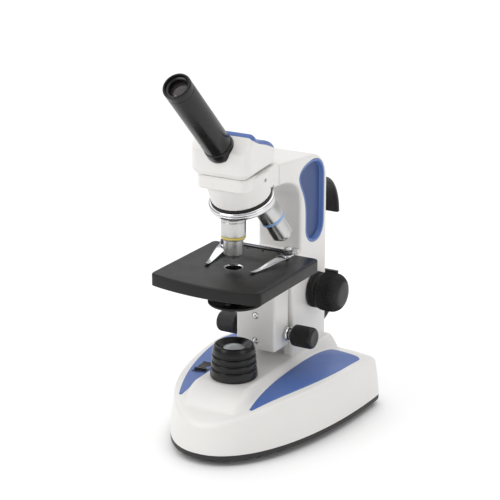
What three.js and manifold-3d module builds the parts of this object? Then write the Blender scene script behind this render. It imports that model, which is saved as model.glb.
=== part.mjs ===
// A monocular student microscope with a built-in lamp, in millimetres, Z up.
// It stands on its feet at Z = 0, its user sits on the -Y side, and the optical axis is vertical.
import * as THREE from "three";
import { mergeVertices } from "three/addons/utils/BufferGeometryUtils.js";
import Module from "manifold-3d";

const wasm = await Module();
wasm.setup();

// ---------------------------------------------------------------- shared
const GAP = 0.3; // running or assembly clearance between two pieces
const FINE = 20; // sides of a large round part
const COARSE = 8; // sides of a small round part

// ---------------------------------------------------------------- base
const BASE_HALF_WIDTH = 87.2;
const BASE_FRONT = -71; // Y of the rounded tip, from the optical axis
const BASE_WIDEST = 139; // Y where the base is widest
const BASE_REAR = 165;
const BASE_FRONT_POWER = 2.15; // fullness of the pointed front
const BASE_REAR_POWER = 3.2; // squareness of the rear corners
const FOOT_HEIGHT = 6.3;
const PLATE_HEIGHT = 5;
const PLATE_FLOOR = 2.5;
const PLATE_RIM = 5;
const WALL = 3.2;
const WALL_LEAN = 3.4; // how far the top of the wall stands inside its foot
const EDGE_FRONT_Z = 36; // height of the wall's top at the front tip
const EDGE_RISE = 21; // how much higher it is at the back
const EDGE_RISE_LENGTH = 26;
const EDGE_FALL = 7; // how much it drops again to the rear wall
const EDGE_FALL_FROM = 105;
const EDGE_FALL_LENGTH = 50;
const CROWN_Z = 61; // height of the middle of the top
const CROWN_POWER = 3;
const CROWN_Y = 60;
const SHOULDER = 5; // rounding between wall and top
const SPINE_HALF_WIDTH = 31; // the raised middle that carries the lamp and the arm
const SPINE_FRONT = -52;
const SPINE_FRONT_Z = 44;
const SPINE_CREST = -22;
const SPINE_REAR = 158;
const SPINE_BEVEL = 6;
const SPINE_LOW = 24;
const BASE_SIDES = 32;
const FOOT_RADIUS = 6;
const FOOT_FRONT = [39, -24];
const FOOT_REAR = [73, 132];
const FOOT_PEG_RADIUS = 2.5;

// ---------------------------------------------------------------- blue inlays of the base
const INLAY_DEPTH = 2.4;
const INLAY_TIP_X = 39.6;
const INLAY_TIP_Y = -36.2;
const INLAY_TIP_BLUNT = 1.6;
const INLAY_OUTER_X = 75.5; // the edge beside the wall, at its widest
const INLAY_OUTER_Y = 104;
const INLAY_CORNER_Y = 122;
const INLAY_REAR_Y = 132;
const INLAY_REAR_SLANT = 4;
const INLAY_INNER_X = 33; // the edge beside the raised middle
const INLAY_FULLNESS = 17; // how far the outer edge bows out past a straight line

// ---------------------------------------------------------------- switch and power socket
const SWITCH_AT = [-46, 19];
const SWITCH_WIDTH = 13;
const SWITCH_LENGTH = 20;
const SWITCH_Z = 59.5;
const SWITCH_HEIGHT = 9;
const SWITCH_PEAK = 2.4;
const SWITCH_PLAY = 1.2; // room for its rocking
const SOCKET_X = -40;
const SOCKET_Z = 30;
const SOCKET_RADIUS = 5.5;
const SOCKET_FLANGE = 8;
const SOCKET_LENGTH = 16;

// ---------------------------------------------------------------- lamp
const LAMP_Z = 66.9;
const LAMP_TOP = 100.8;
const LAMP_FOOT_RADIUS = 23.6;
const LAMP_TOP_RADIUS = 20;
const LAMP_GROOVES = 3;
const LAMP_FOOT_RING = 9.3;
const LAMP_GROOVE_PITCH = 6.8;
const LAMP_GROOVE_WIDTH = 1.7;
const LAMP_GROOVE_DEPTH = 1.8;
const LAMP_BORE = 16;
const LAMP_MOUTH = 10.2;
const CABLE_HOLE = 5;
const LAMP_LENS_RADIUS = 11.4;
const LAMP_LENS_EDGE = 2;
const LAMP_LENS_RISE = 3.2;
const LAMP_LENS_Z = 94.5;
const BOARD_RADIUS = 14.5;
const BOARD_THICK = 1.6;
const BOARD_Z = 74;
const LED_RADIUS = 3.2;

// ---------------------------------------------------------------- arm
const ARM_HALF_WIDTH = 24.5;
const ARM_BEVEL = 3.5;
const ARM_FOOT_Z = 22;
const ARM_FRONT = 73.5; // lower column
const ARM_THROAT = 90; // upper column
const ARM_LEDGE_Z = 172;
const ARM_REAR = 145.3;
const ARM_SEAM = 44.8; // where the nose is joined on
const ARM_TOP_FRONT_Z = 274.6;
const ARM_TOP_REAR_Z = 266;
const ARM_ARCH_Z = 252;
const GRIP_RIM = 2.8;
const GRIP_THICK = 7;
const GRIP_HOLLOW = 4.5;
const GRIP_REAR = 139;
const GRIP_WAIST = 99.4; // Y of the front edge beside the upright column
const GRIP_FRONT = 85.3; // Y of the front edge under the arch
const GRIP_TOP_Z = 263;
const GRIP_CHIN_Z = 248.6; // where the front edge stands furthest forward
const GRIP_WAIST_Z = 206;
const GRIP_FOOT_Z = 175.4;
const GRIP_ROUND = 20;
const HANGER_HALF_WIDTH = 19;
const HANGER_REACH = 39;
const HANGER_DROP = 46;
const HANGER_THICK = 4;
const HANGER_TOP_Z = 235;
const HANGER_LOW_Z = 78;

// ---------------------------------------------------------------- nose and turret
const TURRET_TILT = (18.65 * Math.PI) / 180;
const APEX_Z = 290.1; // where the axes of the objectives cross that of the turret
const CONE_BOTTOM = 43.9; // from the apex, along the turret's axis
const CONE_RADIUS = 29.2;
const CONE_FLARE = 2;
const CONE_HEIGHT = 30;
const PART_Z = 275; // height of the joint between nose and head
const NOSE_FRONT = -25.8;
const NOSE_HALF_WIDTH = 27.6;
const NOSE_TAPER = 0.0013; // narrowing per millimetre towards the arm
const NOSE_LOW_Z = 265.5;
const NOSE_CORNER = 9;
const BEARING_THICK = 1.8;
const BEARING_RADIUS = 29.9;
const RIM_RADIUS = 32.3;
const RIM_HEIGHT = 7.2;
const SEAT = 57.5; // from the apex, along the turret's axis, to the middle of an objective's seat
const THREAD_RADIUS = 9.6;
const THREAD_LENGTH = 4.5;
const PIVOT_RADIUS = 3;
const PIVOT_LENGTH = 16;
const LIGHT_RADIUS = 7;
const LOCK_Y = 7;
const LOCK_Z = 268.4;
const LOCK_RADIUS = 1.8;

// ---------------------------------------------------------------- objectives
const BARREL_RADIUS = 12.1;
const BAND_WIDTH = 2.2;
const BAND_DEPTH = 1;
const LENGTH_4X = 26;
const BARREL_4X = 11;
const NECK_4X = 10;
const TIP_4X = 8.5;
const LENGTH_10X = 40.4;
const BARREL_10X = 17.4;
const NECK_10X = 9.5;
const TIP_10X = 5.4;
const LENGTH_40X = 44.4;
const BARREL_40X = 18.5;
const NECK_40X = 10.6;
const TIP_40X = 7.4;
const TIP_LENGTH = 3.8;
const OBJECTIVE_BORE = 6;
const FRONT_LENS = [4.6, 3.2, 2.2];

// ---------------------------------------------------------------- head and eyepiece
const HEAD_FRONT = -29.5;
const HEAD_REAR = 43.5;
const HEAD_HALF_WIDTH = 32.5;
const HEAD_TAPER = 0.004; // narrowing per millimetre towards the back
const HEAD_BEVEL = 5;
const HEAD_WALL = 3.5;
const HEAD_INLAY_THICK = 3;
const BOSS_RADIUS = 17;
const BOSS_DEPTH = 9.5;
const TUBE_AT = [-25.9, 304.3]; // Y and Z of the middle of the tube's foot
const TUBE_TILT = Math.PI / 4;
const COLLAR_RADIUS = 14.3;
const COLLAR_HEIGHT = 5;
const EYE_RADIUS = 13.6;
const EYE_LENGTH = 103; // from the head to the eye end
const EYE_ROUND = 0.5;
const SLEEVE_RADIUS = 11.6;
const SLEEVE_DEPTH = 12;
const EYE_BORE = 9.8;
const EYE_MOUTH = 11.4;
const EYE_LENS_DEPTH = 7;
const EYE_LENS_THICK = 5;
const FIELD_LENS_AT = 14;
const PRISM_SIZE = 15;
const PRISM_HALF_WIDTH = 9;

// ---------------------------------------------------------------- focus drive
const BLOCK_FRONT = 42;
const BLOCK_REAR = 71;
const BLOCK_HALF_WIDTH = 22;
const BLOCK_LOW = 80;
const BLOCK_TOP = 150;
const BLOCK_BEVEL = 2;
const TONGUE_HALF_WIDTH = 15;
const TONGUE_REAR = 80;
const TRAVEL_UP = 3.6;
const TRAVEL_DOWN = 11.5;
const COARSE_Y = 118.6;
const COARSE_Z = 125;
const COARSE_END = 59;
const COARSE_RADIUS = 20;
const COARSE_INNER = 34;
const COARSE_SHAFT = 4;
const COARSE_BORE = (COARSE_SHAFT + GAP) / Math.cos(Math.PI / COARSE); // its flats clear the turning shaft
const COARSE_COLLAR = 18.6;
const PINION_RADIUS = 9;
const PINION_TEETH = 18;
const TOOTH_HEIGHT = 1.6;
const MESH_GAP = 0.1;
const PINION_HALF_WIDTH = 5;
const RACK_HALF_WIDTH = 6;
const RACK_INSET = 2.2;
const RACK_LOW = 99.5;
const RACK_TOP = 149;
const FINE_Y = 65.3;
const FINE_Z = 93.7;
const FINE_END = 54.4;
const FINE_INNER = 31.5;
const FINE_RADIUS = 10.9;
const FINE_SHAFT = 3;
const FINE_THROW = 0.8;
const FINE_CAM = 4.2;
const CAM_HALF_WIDTH = 6;
const FLANGE_RADIUS = 7.8;
const FLANGE_THICK = 4;
const STEM_HALF_WIDTH = 9;
const STEM_FRONT = 53;
const STEM_REAR = 67.5;
const BLOCK_SCREW_Z = [88.9, 115.9];
const BLOCK_SCREW_HEAD = 3.1;

// ---------------------------------------------------------------- stage
const STAGE_Z = 179.2;
const STAGE_HALF_WIDTH = 60;
const STAGE_FRONT = -54.7;
const STAGE_BOW = 7.6;
const STAGE_REAR = 62.7;
const STAGE_CORNER = 5;
const STAGE_THICK = 3;
const STAGE_SKIRT = 12.7;
const STAGE_BEVEL = 1.2;
const APERTURE = 8.6;
const TUBE_WALL = 2.6;
const RECESS_FLOOR_Z = 155;
const CONDENSER_RADIUS = 8.1;
const CONDENSER_Z = 161;
const CONDENSER_THICK = 4;
const STAGE_HOLE_X = 17.5;
const STAGE_HOLE_Y = 57;
const STAGE_HOLE = 1.4;
const BRACKET_FRONT = 22;
const BRACKET_LOW = 163;
const DISC_AT = [10, -13];
const DISC_RADIUS = 27;
const DISC_Z = 148.8;
const DISC_THICK = 3.4;
const DISC_HOLES = [6.5, 5, 3.6, 2.4, 1.3];
const DISC_PIN = 2.2;
const DISC_BOSS = 6;
const DISC_HEAD = 5;
const POST_X = 35.4;
const POST_Y = 43.4;
const POST_RADIUS = 2;
const POST_TOP = 193;
const POST_CAP = 3.4;
const POST_CAP_HEIGHT = 3.2;
const BAR_RADIUS = 1.9;
const BAR_Z = 187.6;
const BAR_COLLAR = 4.6;
const BAR_COLLAR_HEIGHT = 3.6;
const CLIP_TIP = [24.6, -11];
const CLIP_THICK = 0.9;
const CLIP_Z = 183.6;
const CLIP_WIDTH = 11;
const CLIP_END_WIDTH = 4.4;
const STOP_AT = [21.3, 83];
const STOP_RADIUS = 4.3;
const STOP_HEIGHT = 4.4;
const STOP_STEM = 1.6;

// The middle of the whole object lies over the origin.
const REAR_MOST = ARM_REAR + GAP + HANGER_REACH;
const EYE_REACH = (EYE_LENGTH - EYE_ROUND) * Math.sin(TUBE_TILT)
  + (EYE_RADIUS - EYE_ROUND) * Math.cos(TUBE_TILT);
const FRONT_MOST = TUBE_AT[0] - EYE_REACH;
const SHIFT_Y = -(REAR_MOST + FRONT_MOST) / 2;

// ---------------------------------------------------------------- helpers
// A geometry as a solid that can be cut and joined.
function solid(geometry) {
  const bare = geometry.clone();
  bare.deleteAttribute("normal");
  bare.deleteAttribute("uv");
  const merged = mergeVertices(bare, 1e-4);
  const triVerts = new Uint32Array(merged.index.array);
  const vertProperties = new Float32Array(merged.attributes.position.array);
  const made = new wasm.Manifold(new wasm.Mesh({ numProp: 3, vertProperties, triVerts }));
  if (made.volume() > 0) return made;
  // A profile that runs down instead of up: turn every face round.
  triVerts.reverse();
  return new wasm.Manifold(new wasm.Mesh({ numProp: 3, vertProperties, triVerts }));
}

function geometryOf(shape) {
  const mesh = shape.getMesh();
  const geometry = new THREE.BufferGeometry();
  geometry.setAttribute("position", new THREE.BufferAttribute(mesh.vertProperties, 3));
  geometry.setIndex(new THREE.BufferAttribute(mesh.triVerts, 1));
  const flat = geometry.toNonIndexed();
  flat.computeVertexNormals();
  return flat;
}

function cut(shape, ...tools) {
  return tools.reduce((rest, tool) => rest.subtract(tool), shape);
}

function join(shape, ...others) {
  return others.reduce((sum, other) => sum.add(other), shape);
}

// A box between two corners.
function block(x0, x1, y0, y1, z0, z1) {
  const box = new THREE.BoxGeometry(x1 - x0, y1 - y0, z1 - z0);
  box.translate((x0 + x1) / 2, (y0 + y1) / 2, (z0 + z1) / 2);
  return solid(box);
}

// A solid turned about Z from pairs of radius and height that run up the outside.
function turnedGeometry(pairs, sides = FINE) {
  const points = [];
  for (let i = 0; i < pairs.length; i += 2) points.push(new THREE.Vector2(pairs[i], pairs[i + 1]));
  const closed = points[0].x > 0 && points.at(-1).x > 0;
  if (closed) points.push(points[0].clone());
  const lathe = new THREE.LatheGeometry(points, sides);
  lathe.rotateX(Math.PI / 2);
  return lathe;
}

function turned(pairs, sides = FINE) {
  return solid(turnedGeometry(pairs, sides));
}

function disc(radius, z0, z1, sides = FINE) {
  return turned([0, z0, radius, z0, radius, z1, 0, z1], sides);
}

// The same, with both rims rounded off by a small chamfer.
function puck(radius, z0, z1, chamfer, sides = FINE) {
  return turned(
    [0, z0, radius - chamfer, z0, radius, z0 + chamfer, radius, z1 - chamfer, radius - chamfer, z1, 0, z1],
    sides,
  );
}

// Lays a Z-axis solid along X, its +Z end towards +X.
function alongX(shape) {
  return shape.rotate([0, 90, 0]);
}

function polygon(flatPairs) {
  const shape = new THREE.Shape();
  for (let i = 0; i < flatPairs.length; i += 2) {
    if (i === 0) shape.moveTo(flatPairs[0], flatPairs[1]);
    else shape.lineTo(flatPairs[i], flatPairs[i + 1]);
  }
  shape.closePath();
  return shape;
}

// An outline in plan, raised between two heights, with its edges bevelled inwards.
function prism(shape, z0, z1, bevel = 0, steps = 1, curves = 8) {
  const geometry = new THREE.ExtrudeGeometry(shape, {
    depth: z1 - z0 - 2 * bevel,
    steps: 1,
    curveSegments: curves,
    bevelEnabled: bevel > 0,
    bevelThickness: bevel,
    bevelSize: bevel,
    bevelOffset: -bevel,
    bevelSegments: steps,
  });
  geometry.translate(0, 0, z0 + bevel);
  return solid(geometry);
}

// An outline given in Y and Z, made as wide as 2 * half across X.
function sideways(shape, half, bevel = 0, steps = 1, curves = 8) {
  return prism(shape, -half, half, bevel, steps, curves).rotate([90, 0, 90]);
}

function roundedRectangle(x0, x1, y0, y1, r) {
  const shape = new THREE.Shape();
  shape.moveTo(x0 + r, y0);
  shape.lineTo(x1 - r, y0);
  shape.absarc(x1 - r, y0 + r, r, -Math.PI / 2, 0, false);
  shape.lineTo(x1, y1 - r);
  shape.absarc(x1 - r, y1 - r, r, 0, Math.PI / 2, false);
  shape.lineTo(x0 + r, y1);
  shape.absarc(x0 + r, y1 - r, r, Math.PI / 2, Math.PI, false);
  shape.lineTo(x0, y0 + r);
  shape.absarc(x0 + r, y0 + r, r, Math.PI, 1.5 * Math.PI, false);
  return shape;
}

// Closes a stack of equal rings into a solid, with a middle point at each end.
function stacked(rings, low, high) {
  const count = rings[0].length;
  const points = [low, ...rings.flat(), high];
  const positions = new Float32Array(points.flat());
  const index = [];
  for (let i = 0; i < count; i++) index.push(0, 1 + ((i + 1) % count), 1 + i);
  for (let r = 0; r < rings.length - 1; r++) {
    for (let i = 0; i < count; i++) {
      const a = 1 + r * count + i;
      const b = 1 + r * count + ((i + 1) % count);
      index.push(a, b, b + count, a, b + count, a + count);
    }
  }
  const last = 1 + (rings.length - 1) * count;
  for (let i = 0; i < count; i++) index.push(last + i, last + ((i + 1) % count), points.length - 1);
  const geometry = new THREE.BufferGeometry();
  geometry.setAttribute("position", new THREE.BufferAttribute(positions, 3));
  geometry.setIndex(index);
  return solid(geometry);
}

const group = new THREE.Group();
group.name = "microscope";

// Adds a finished piece to the object, moved so that the whole object is centred.
function piece(name, shape, color, roughness = 0.5, metalness = 0) {
  const material = new THREE.MeshStandardMaterial({ color, roughness, metalness });
  const mesh = new THREE.Mesh(geometryOf(shape.translate([0, SHIFT_Y, 0])), material);
  mesh.name = name;
  group.add(mesh);
}

const WHITE = 0xe6e4e0;
const BLUE = 0x4f7cc4;
const BLACK = 0x1c1c1e;
const CHROME = 0xc9ccd0;
const SATIN = 0xb4b6b8;
const CLEAR = 0xd5e4ea;

// ---------------------------------------------------------------- base
// A point of the base's outline, pulled in by an inset, at an angle from +X.
function outlinePoint(angle, inset) {
  const s = Math.sin(angle);
  const power = s <= 0 ? BASE_FRONT_POWER : BASE_REAR_POWER;
  const c = Math.sign(Math.cos(angle)) * Math.abs(Math.cos(angle)) ** (2 / power);
  if (s <= 0) {
    const reach = BASE_WIDEST - BASE_FRONT - inset;
    return [(BASE_HALF_WIDTH - inset) * c, BASE_WIDEST - reach * (-s) ** (2 / power)];
  }
  const depth = BASE_REAR - BASE_WIDEST - inset;
  return [(BASE_HALF_WIDTH - inset) * c, BASE_WIDEST + depth * s ** (2 / BASE_REAR_POWER)];
}

function edgeHeight(y) {
  const fall = Math.max(0, Math.min(1, (y - EDGE_FALL_FROM) / EDGE_FALL_LENGTH));
  return EDGE_FRONT_Z + EDGE_RISE * (1 - Math.exp(-(y - BASE_FRONT) / EDGE_RISE_LENGTH)) - EDGE_FALL * fall;
}

// One ring of the base at a share of the way from its middle to its outline.
function baseRing(inset, share, heightOf) {
  const ring = [];
  for (let i = 0; i < BASE_SIDES; i++) {
    const [x, y] = outlinePoint((2 * Math.PI * i) / BASE_SIDES, inset);
    ring.push([x * share, CROWN_Y + (y - CROWN_Y) * share, heightOf(y)]);
  }
  return ring;
}

// The base's outer form, or the same form moved in by a wall's thickness.
function baseForm(inset, bottom) {
  const drop = inset;
  const rings = [baseRing(inset, 1, () => bottom)];
  const top = (y) => edgeHeight(y) - drop;
  for (const [share, lean] of [[0.5, 0.4], [1, 1]]) {
    rings.push(baseRing(inset + WALL_LEAN * lean, 1, (y) => bottom + (top(y) - SHOULDER - bottom) * share));
  }
  rings.push(baseRing(inset + WALL_LEAN + SHOULDER * 0.3, 1, (y) => top(y) - SHOULDER * 0.3));
  rings.push(baseRing(inset + WALL_LEAN + SHOULDER, 1, top));
  for (const share of [0.86, 0.68, 0.45]) {
    const rise = 1 - share ** CROWN_POWER;
    const height = (y) => top(y) + (CROWN_Z - drop - top(y)) * rise;
    rings.push(baseRing(inset + WALL_LEAN + SHOULDER, share, height));
  }
  return stacked(rings, [0, CROWN_Y, bottom], [0, CROWN_Y, CROWN_Z - drop]);
}

// The points of a closed curve, moved outwards by an offset.
function grownPoints(curve, grow, curves = 5) {
  const points = curve.getPoints(curves);
  if (points[0].distanceTo(points.at(-1)) < 1e-6) points.pop();
  return points.map((p, i) => {
    const before = points[(i + points.length - 1) % points.length];
    const after = points[(i + 1) % points.length];
    const along = after.clone().sub(before).normalize();
    return new THREE.Vector2(p.x + along.y * grow, p.y - along.x * grow);
  });
}

// The outline of a blue inlay on the +X side, or mirrored for the -X side.
function inlayShape(side, grow) {
  const curve = new THREE.Shape();
  const cornerX = INLAY_OUTER_X - 0.7;
  const rearX = INLAY_INNER_X + 10;
  curve.moveTo(INLAY_TIP_X + INLAY_TIP_BLUNT, INLAY_TIP_Y);
  curve.bezierCurveTo(
    INLAY_TIP_X + INLAY_FULLNESS, INLAY_TIP_Y + 2 * INLAY_FULLNESS,
    INLAY_OUTER_X - 2.5, INLAY_OUTER_Y / 2,
    INLAY_OUTER_X, INLAY_OUTER_Y,
  );
  curve.lineTo(cornerX, INLAY_CORNER_Y);
  curve.quadraticCurveTo(cornerX, INLAY_REAR_Y - 1, cornerX - 8, INLAY_REAR_Y);
  curve.lineTo(rearX, INLAY_REAR_Y + INLAY_REAR_SLANT);
  curve.quadraticCurveTo(
    INLAY_INNER_X + 4, INLAY_REAR_Y + INLAY_REAR_SLANT, INLAY_INNER_X + 3, INLAY_CORNER_Y + 4,
  );
  curve.bezierCurveTo(
    INLAY_INNER_X, INLAY_OUTER_Y,
    INLAY_INNER_X - 1, INLAY_OUTER_Y / 5,
    INLAY_TIP_X - INLAY_TIP_BLUNT, INLAY_TIP_Y,
  );
  const placed = grownPoints(curve, grow).map((p) => new THREE.Vector2(p.x * side, p.y));
  return new THREE.Shape(side > 0 ? placed : placed.reverse());
}

const BASE_BOTTOM = FOOT_HEIGHT + PLATE_HEIGHT + GAP;

function spine() {
  const top = LAMP_Z - GAP;
  const side = new THREE.Shape();
  side.moveTo(SPINE_FRONT, SPINE_LOW);
  side.lineTo(SPINE_REAR, SPINE_LOW);
  side.lineTo(SPINE_REAR, top - SPINE_BEVEL);
  side.lineTo(SPINE_REAR - SPINE_BEVEL, top);
  side.lineTo(SPINE_CREST, top);
  side.quadraticCurveTo(SPINE_CREST - 12, top, SPINE_FRONT, SPINE_FRONT_Z);
  return sideways(side, SPINE_HALF_WIDTH, SPINE_BEVEL, 2, 4);
}

const outerForm = baseForm(0, BASE_BOTTOM);
const INLAY_LOW = 30;
const INLAY_HIGH = 90;

function switchWell(grow) {
  const [x, y] = SWITCH_AT;
  const w = SWITCH_WIDTH / 2 + grow;
  const l = SWITCH_LENGTH / 2 + grow;
  return block(x - w, x + w, y - l, y + l, SWITCH_Z - SWITCH_HEIGHT - 8, INLAY_HIGH);
}

function buildInlays() {
  const sunk = outerForm.translate([0, 0, -INLAY_DEPTH]);
  for (const [name, side] of [["base_inlay_left", -1], ["base_inlay_right", 1]]) {
    const field = prism(inlayShape(side, -GAP), INLAY_LOW, INLAY_HIGH);
    let inlay = outerForm.intersect(field).subtract(sunk);
    if (side < 0) inlay = inlay.subtract(switchWell(3 * GAP));
    piece(name, inlay, BLUE, 0.45);
  }
}

function armHole(grow) {
  const half = ARM_HALF_WIDTH + grow;
  return block(-half, half, ARM_FRONT - grow, ARM_REAR + grow, ARM_FOOT_Z - 10, CROWN_Z + 20);
}

function buildBase() {
  const sunk = outerForm.translate([0, 0, -INLAY_DEPTH - GAP]);
  let shell = outerForm;
  for (const side of [-1, 1]) {
    const pocket = outerForm.translate([0, 0, 1]).intersect(prism(
      inlayShape(side, 0), INLAY_LOW, INLAY_HIGH,
    ));
    shell = shell.subtract(pocket.subtract(sunk));
  }
  shell = shell.add(spine().subtract(outerForm.translate([0, 0, -12])));
  const hollow = baseForm(WALL + INLAY_DEPTH, BASE_BOTTOM - 1);
  const socket = alongY(disc(SOCKET_RADIUS + GAP, 0, 60, COARSE))
    .translate([SOCKET_X, BASE_REAR - 40, SOCKET_Z]);
  shell = cut(
    shell,
    hollow,
    armHole(GAP),
    switchWell(GAP),
    socket,
    disc(CABLE_HOLE, CROWN_Z - 20, LAMP_Z, COARSE),
  );
  piece("base_housing", shell, WHITE, 0.45);
  buildInlays();
}

function alongY(shape) {
  return shape.rotate([-90, 0, 0]);
}

function footSpots() {
  return [
    ["foot_front_left", -FOOT_FRONT[0], FOOT_FRONT[1]],
    ["foot_front_right", FOOT_FRONT[0], FOOT_FRONT[1]],
    ["foot_rear_left", -FOOT_REAR[0], FOOT_REAR[1]],
    ["foot_rear_right", FOOT_REAR[0], FOOT_REAR[1]],
  ];
}

function platePrism(inset, z0, z1) {
  const points = [];
  for (let i = 0; i < BASE_SIDES; i++) {
    const [x, y] = outlinePoint((2 * Math.PI * i) / BASE_SIDES, inset);
    points.push(new THREE.Vector2(x, y));
  }
  return prism(new THREE.Shape(points), z0, z1);
}

function buildPlateAndFeet() {
  const top = FOOT_HEIGHT + PLATE_HEIGHT;
  const floor = FOOT_HEIGHT + PLATE_FLOOR;
  let plate = platePrism(0, FOOT_HEIGHT, top);
  plate = plate.subtract(platePrism(PLATE_RIM, floor, top + 1));
  for (const [name, x, y] of footSpots()) {
    plate = plate.subtract(disc(FOOT_PEG_RADIUS + GAP, 0, top, COARSE).translate([x, y, 0]));
    const pad = puck(FOOT_RADIUS, 0, FOOT_HEIGHT - GAP, 0.8, COARSE);
    const peg = disc(FOOT_PEG_RADIUS, 1, floor, COARSE);
    piece(name, join(pad, peg).translate([x, y, 0]), BLACK, 0.9);
  }
  piece("base_plate", plate, BLACK, 0.6);
}

function buildSwitchAndSocket() {
  const [x, y] = SWITCH_AT;
  const half = SWITCH_LENGTH / 2 - SWITCH_PLAY;
  const low = SWITCH_Z - SWITCH_HEIGHT;
  const profile = polygon([
    -half, low, half, low, half, SWITCH_Z + SWITCH_PEAK, 0, SWITCH_Z, -half, SWITCH_Z + SWITCH_PEAK,
  ]);
  const rocker = sideways(profile, SWITCH_WIDTH / 2 - GAP).translate([x, y, 0]);
  piece("switch_rocker", rocker, BLACK, 0.4);
  const flange = puck(SOCKET_FLANGE, GAP, 2, 0.5, COARSE);
  const body = disc(SOCKET_RADIUS, -SOCKET_LENGTH, 1, COARSE);
  const mouth = disc(SOCKET_RADIUS - 2, -SOCKET_LENGTH + 3, 3, COARSE);
  const pin = disc(1, -SOCKET_LENGTH + 1, 0, 12);
  const socket = join(cut(join(flange, body), mouth), pin);
  piece("power_socket", alongY(socket).translate([SOCKET_X, BASE_REAR + 0.2, SOCKET_Z]), BLACK, 0.5);
}

// ---------------------------------------------------------------- lamp
function buildLamp() {
  const profile = [LAMP_BORE, LAMP_Z, LAMP_FOOT_RADIUS - 1, LAMP_Z, LAMP_FOOT_RADIUS, LAMP_Z + 1.5];
  const taper = (LAMP_FOOT_RADIUS - LAMP_TOP_RADIUS) / (LAMP_TOP - LAMP_Z);
  for (let i = 0; i < LAMP_GROOVES; i++) {
    const z = LAMP_Z + LAMP_FOOT_RING + i * LAMP_GROOVE_PITCH;
    const r = LAMP_FOOT_RADIUS - taper * (z - LAMP_Z) * 0.8;
    profile.push(r, z - 0.8, r - 0.6, z, r - LAMP_GROOVE_DEPTH, z);
    profile.push(
      r - LAMP_GROOVE_DEPTH, z + LAMP_GROOVE_WIDTH, r - 0.8, z + LAMP_GROOVE_WIDTH, r - 0.3, z + 2.6,
    );
  }
  const lip = LAMP_LENS_Z + LAMP_LENS_EDGE + GAP;
  profile.push(
    LAMP_TOP_RADIUS + 0.6, LAMP_TOP - 4, LAMP_TOP_RADIUS - 0.8, LAMP_TOP - 0.6, LAMP_TOP_RADIUS - 2.2,
    LAMP_TOP,
  );
  profile.push(LAMP_MOUTH + 3, LAMP_TOP - 2.6, LAMP_MOUTH, lip, LAMP_LENS_RADIUS + GAP, lip);
  profile.push(
    LAMP_LENS_RADIUS + GAP, LAMP_LENS_Z - GAP, LAMP_MOUTH, LAMP_LENS_Z - GAP, LAMP_MOUTH,
    LAMP_LENS_Z - 2,
  );
  profile.push(LAMP_BORE, LAMP_LENS_Z - 5);
  piece("lamp_housing", turned(profile), BLACK, 0.45);
  const edge = LAMP_LENS_RADIUS;
  const lens = [
    0, LAMP_LENS_Z, edge, LAMP_LENS_Z, edge, LAMP_LENS_Z + LAMP_LENS_EDGE, LAMP_MOUTH - GAP,
    LAMP_LENS_Z + LAMP_LENS_EDGE,
  ];
  for (const share of [0.75, 0.5, 0.25, 0]) {
    const r = (LAMP_MOUTH - 1) * share;
    lens.push(r, LAMP_LENS_Z + LAMP_LENS_EDGE + 0.3 + LAMP_LENS_RISE * (1 - share * share));
  }
  piece("lamp_lens", turned(lens), CLEAR, 0.1);
  const board = join(
    disc(BOARD_RADIUS, BOARD_Z - BOARD_THICK, BOARD_Z),
    puck(LED_RADIUS, BOARD_Z - 1, BOARD_Z + 3, 1, COARSE),
  );
  const leg = disc(3, LAMP_Z, BOARD_Z - BOARD_THICK + 0.5, COARSE).translate([BOARD_RADIUS - 5, 0, 0]);
  const otherLeg = leg.rotate([0, 0, 180]);
  piece("lamp_board", join(board, leg, otherLeg), 0x2f6b3a, 0.6);
}

// ---------------------------------------------------------------- arm
function armShape() {
  const s = new THREE.Shape();
  s.moveTo(ARM_FRONT, ARM_FOOT_Z);
  s.lineTo(ARM_REAR, ARM_FOOT_Z);
  s.lineTo(ARM_REAR, 236);
  s.bezierCurveTo(ARM_REAR, 252, 134, ARM_TOP_REAR_Z - 2, 116, ARM_TOP_REAR_Z + 1.6);
  s.lineTo(98, 270);
  s.lineTo(ARM_SEAM, ARM_TOP_FRONT_Z);
  s.lineTo(ARM_SEAM, ARM_ARCH_Z);
  s.bezierCurveTo(70, ARM_ARCH_Z - 1, ARM_THROAT, 244, ARM_THROAT, 224);
  s.lineTo(ARM_THROAT, ARM_LEDGE_Z);
  s.lineTo(ARM_FRONT, ARM_LEDGE_Z);
  s.closePath();
  return s;
}

// The kidney-shaped edge of a side grip, in Y and Z.
function gripOutline() {
  const s = new THREE.Shape();
  const crest = GRIP_REAR - 26;
  const middle = (GRIP_REAR + GRIP_WAIST) / 2;
  s.moveTo(GRIP_REAR, GRIP_FOOT_Z + GRIP_ROUND);
  s.lineTo(GRIP_REAR, GRIP_TOP_Z - GRIP_ROUND - 3);
  s.bezierCurveTo(GRIP_REAR, GRIP_TOP_Z - 9, GRIP_REAR - 9, GRIP_TOP_Z, crest, GRIP_TOP_Z);
  s.bezierCurveTo(crest - 14, GRIP_TOP_Z - 1, GRIP_FRONT, GRIP_CHIN_Z + 9, GRIP_FRONT, GRIP_CHIN_Z);
  s.bezierCurveTo(GRIP_FRONT + 2, GRIP_CHIN_Z - 12, GRIP_WAIST, GRIP_CHIN_Z - 17, GRIP_WAIST, GRIP_WAIST_Z);
  s.lineTo(GRIP_WAIST, GRIP_FOOT_Z + GRIP_ROUND - 2);
  s.bezierCurveTo(GRIP_WAIST, GRIP_FOOT_Z + 7, middle - 9, GRIP_FOOT_Z, middle + 1, GRIP_FOOT_Z);
  s.bezierCurveTo(middle + 12, GRIP_FOOT_Z, GRIP_REAR, GRIP_FOOT_Z + 7, GRIP_REAR, GRIP_FOOT_Z + GRIP_ROUND);
  return s;
}

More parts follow.
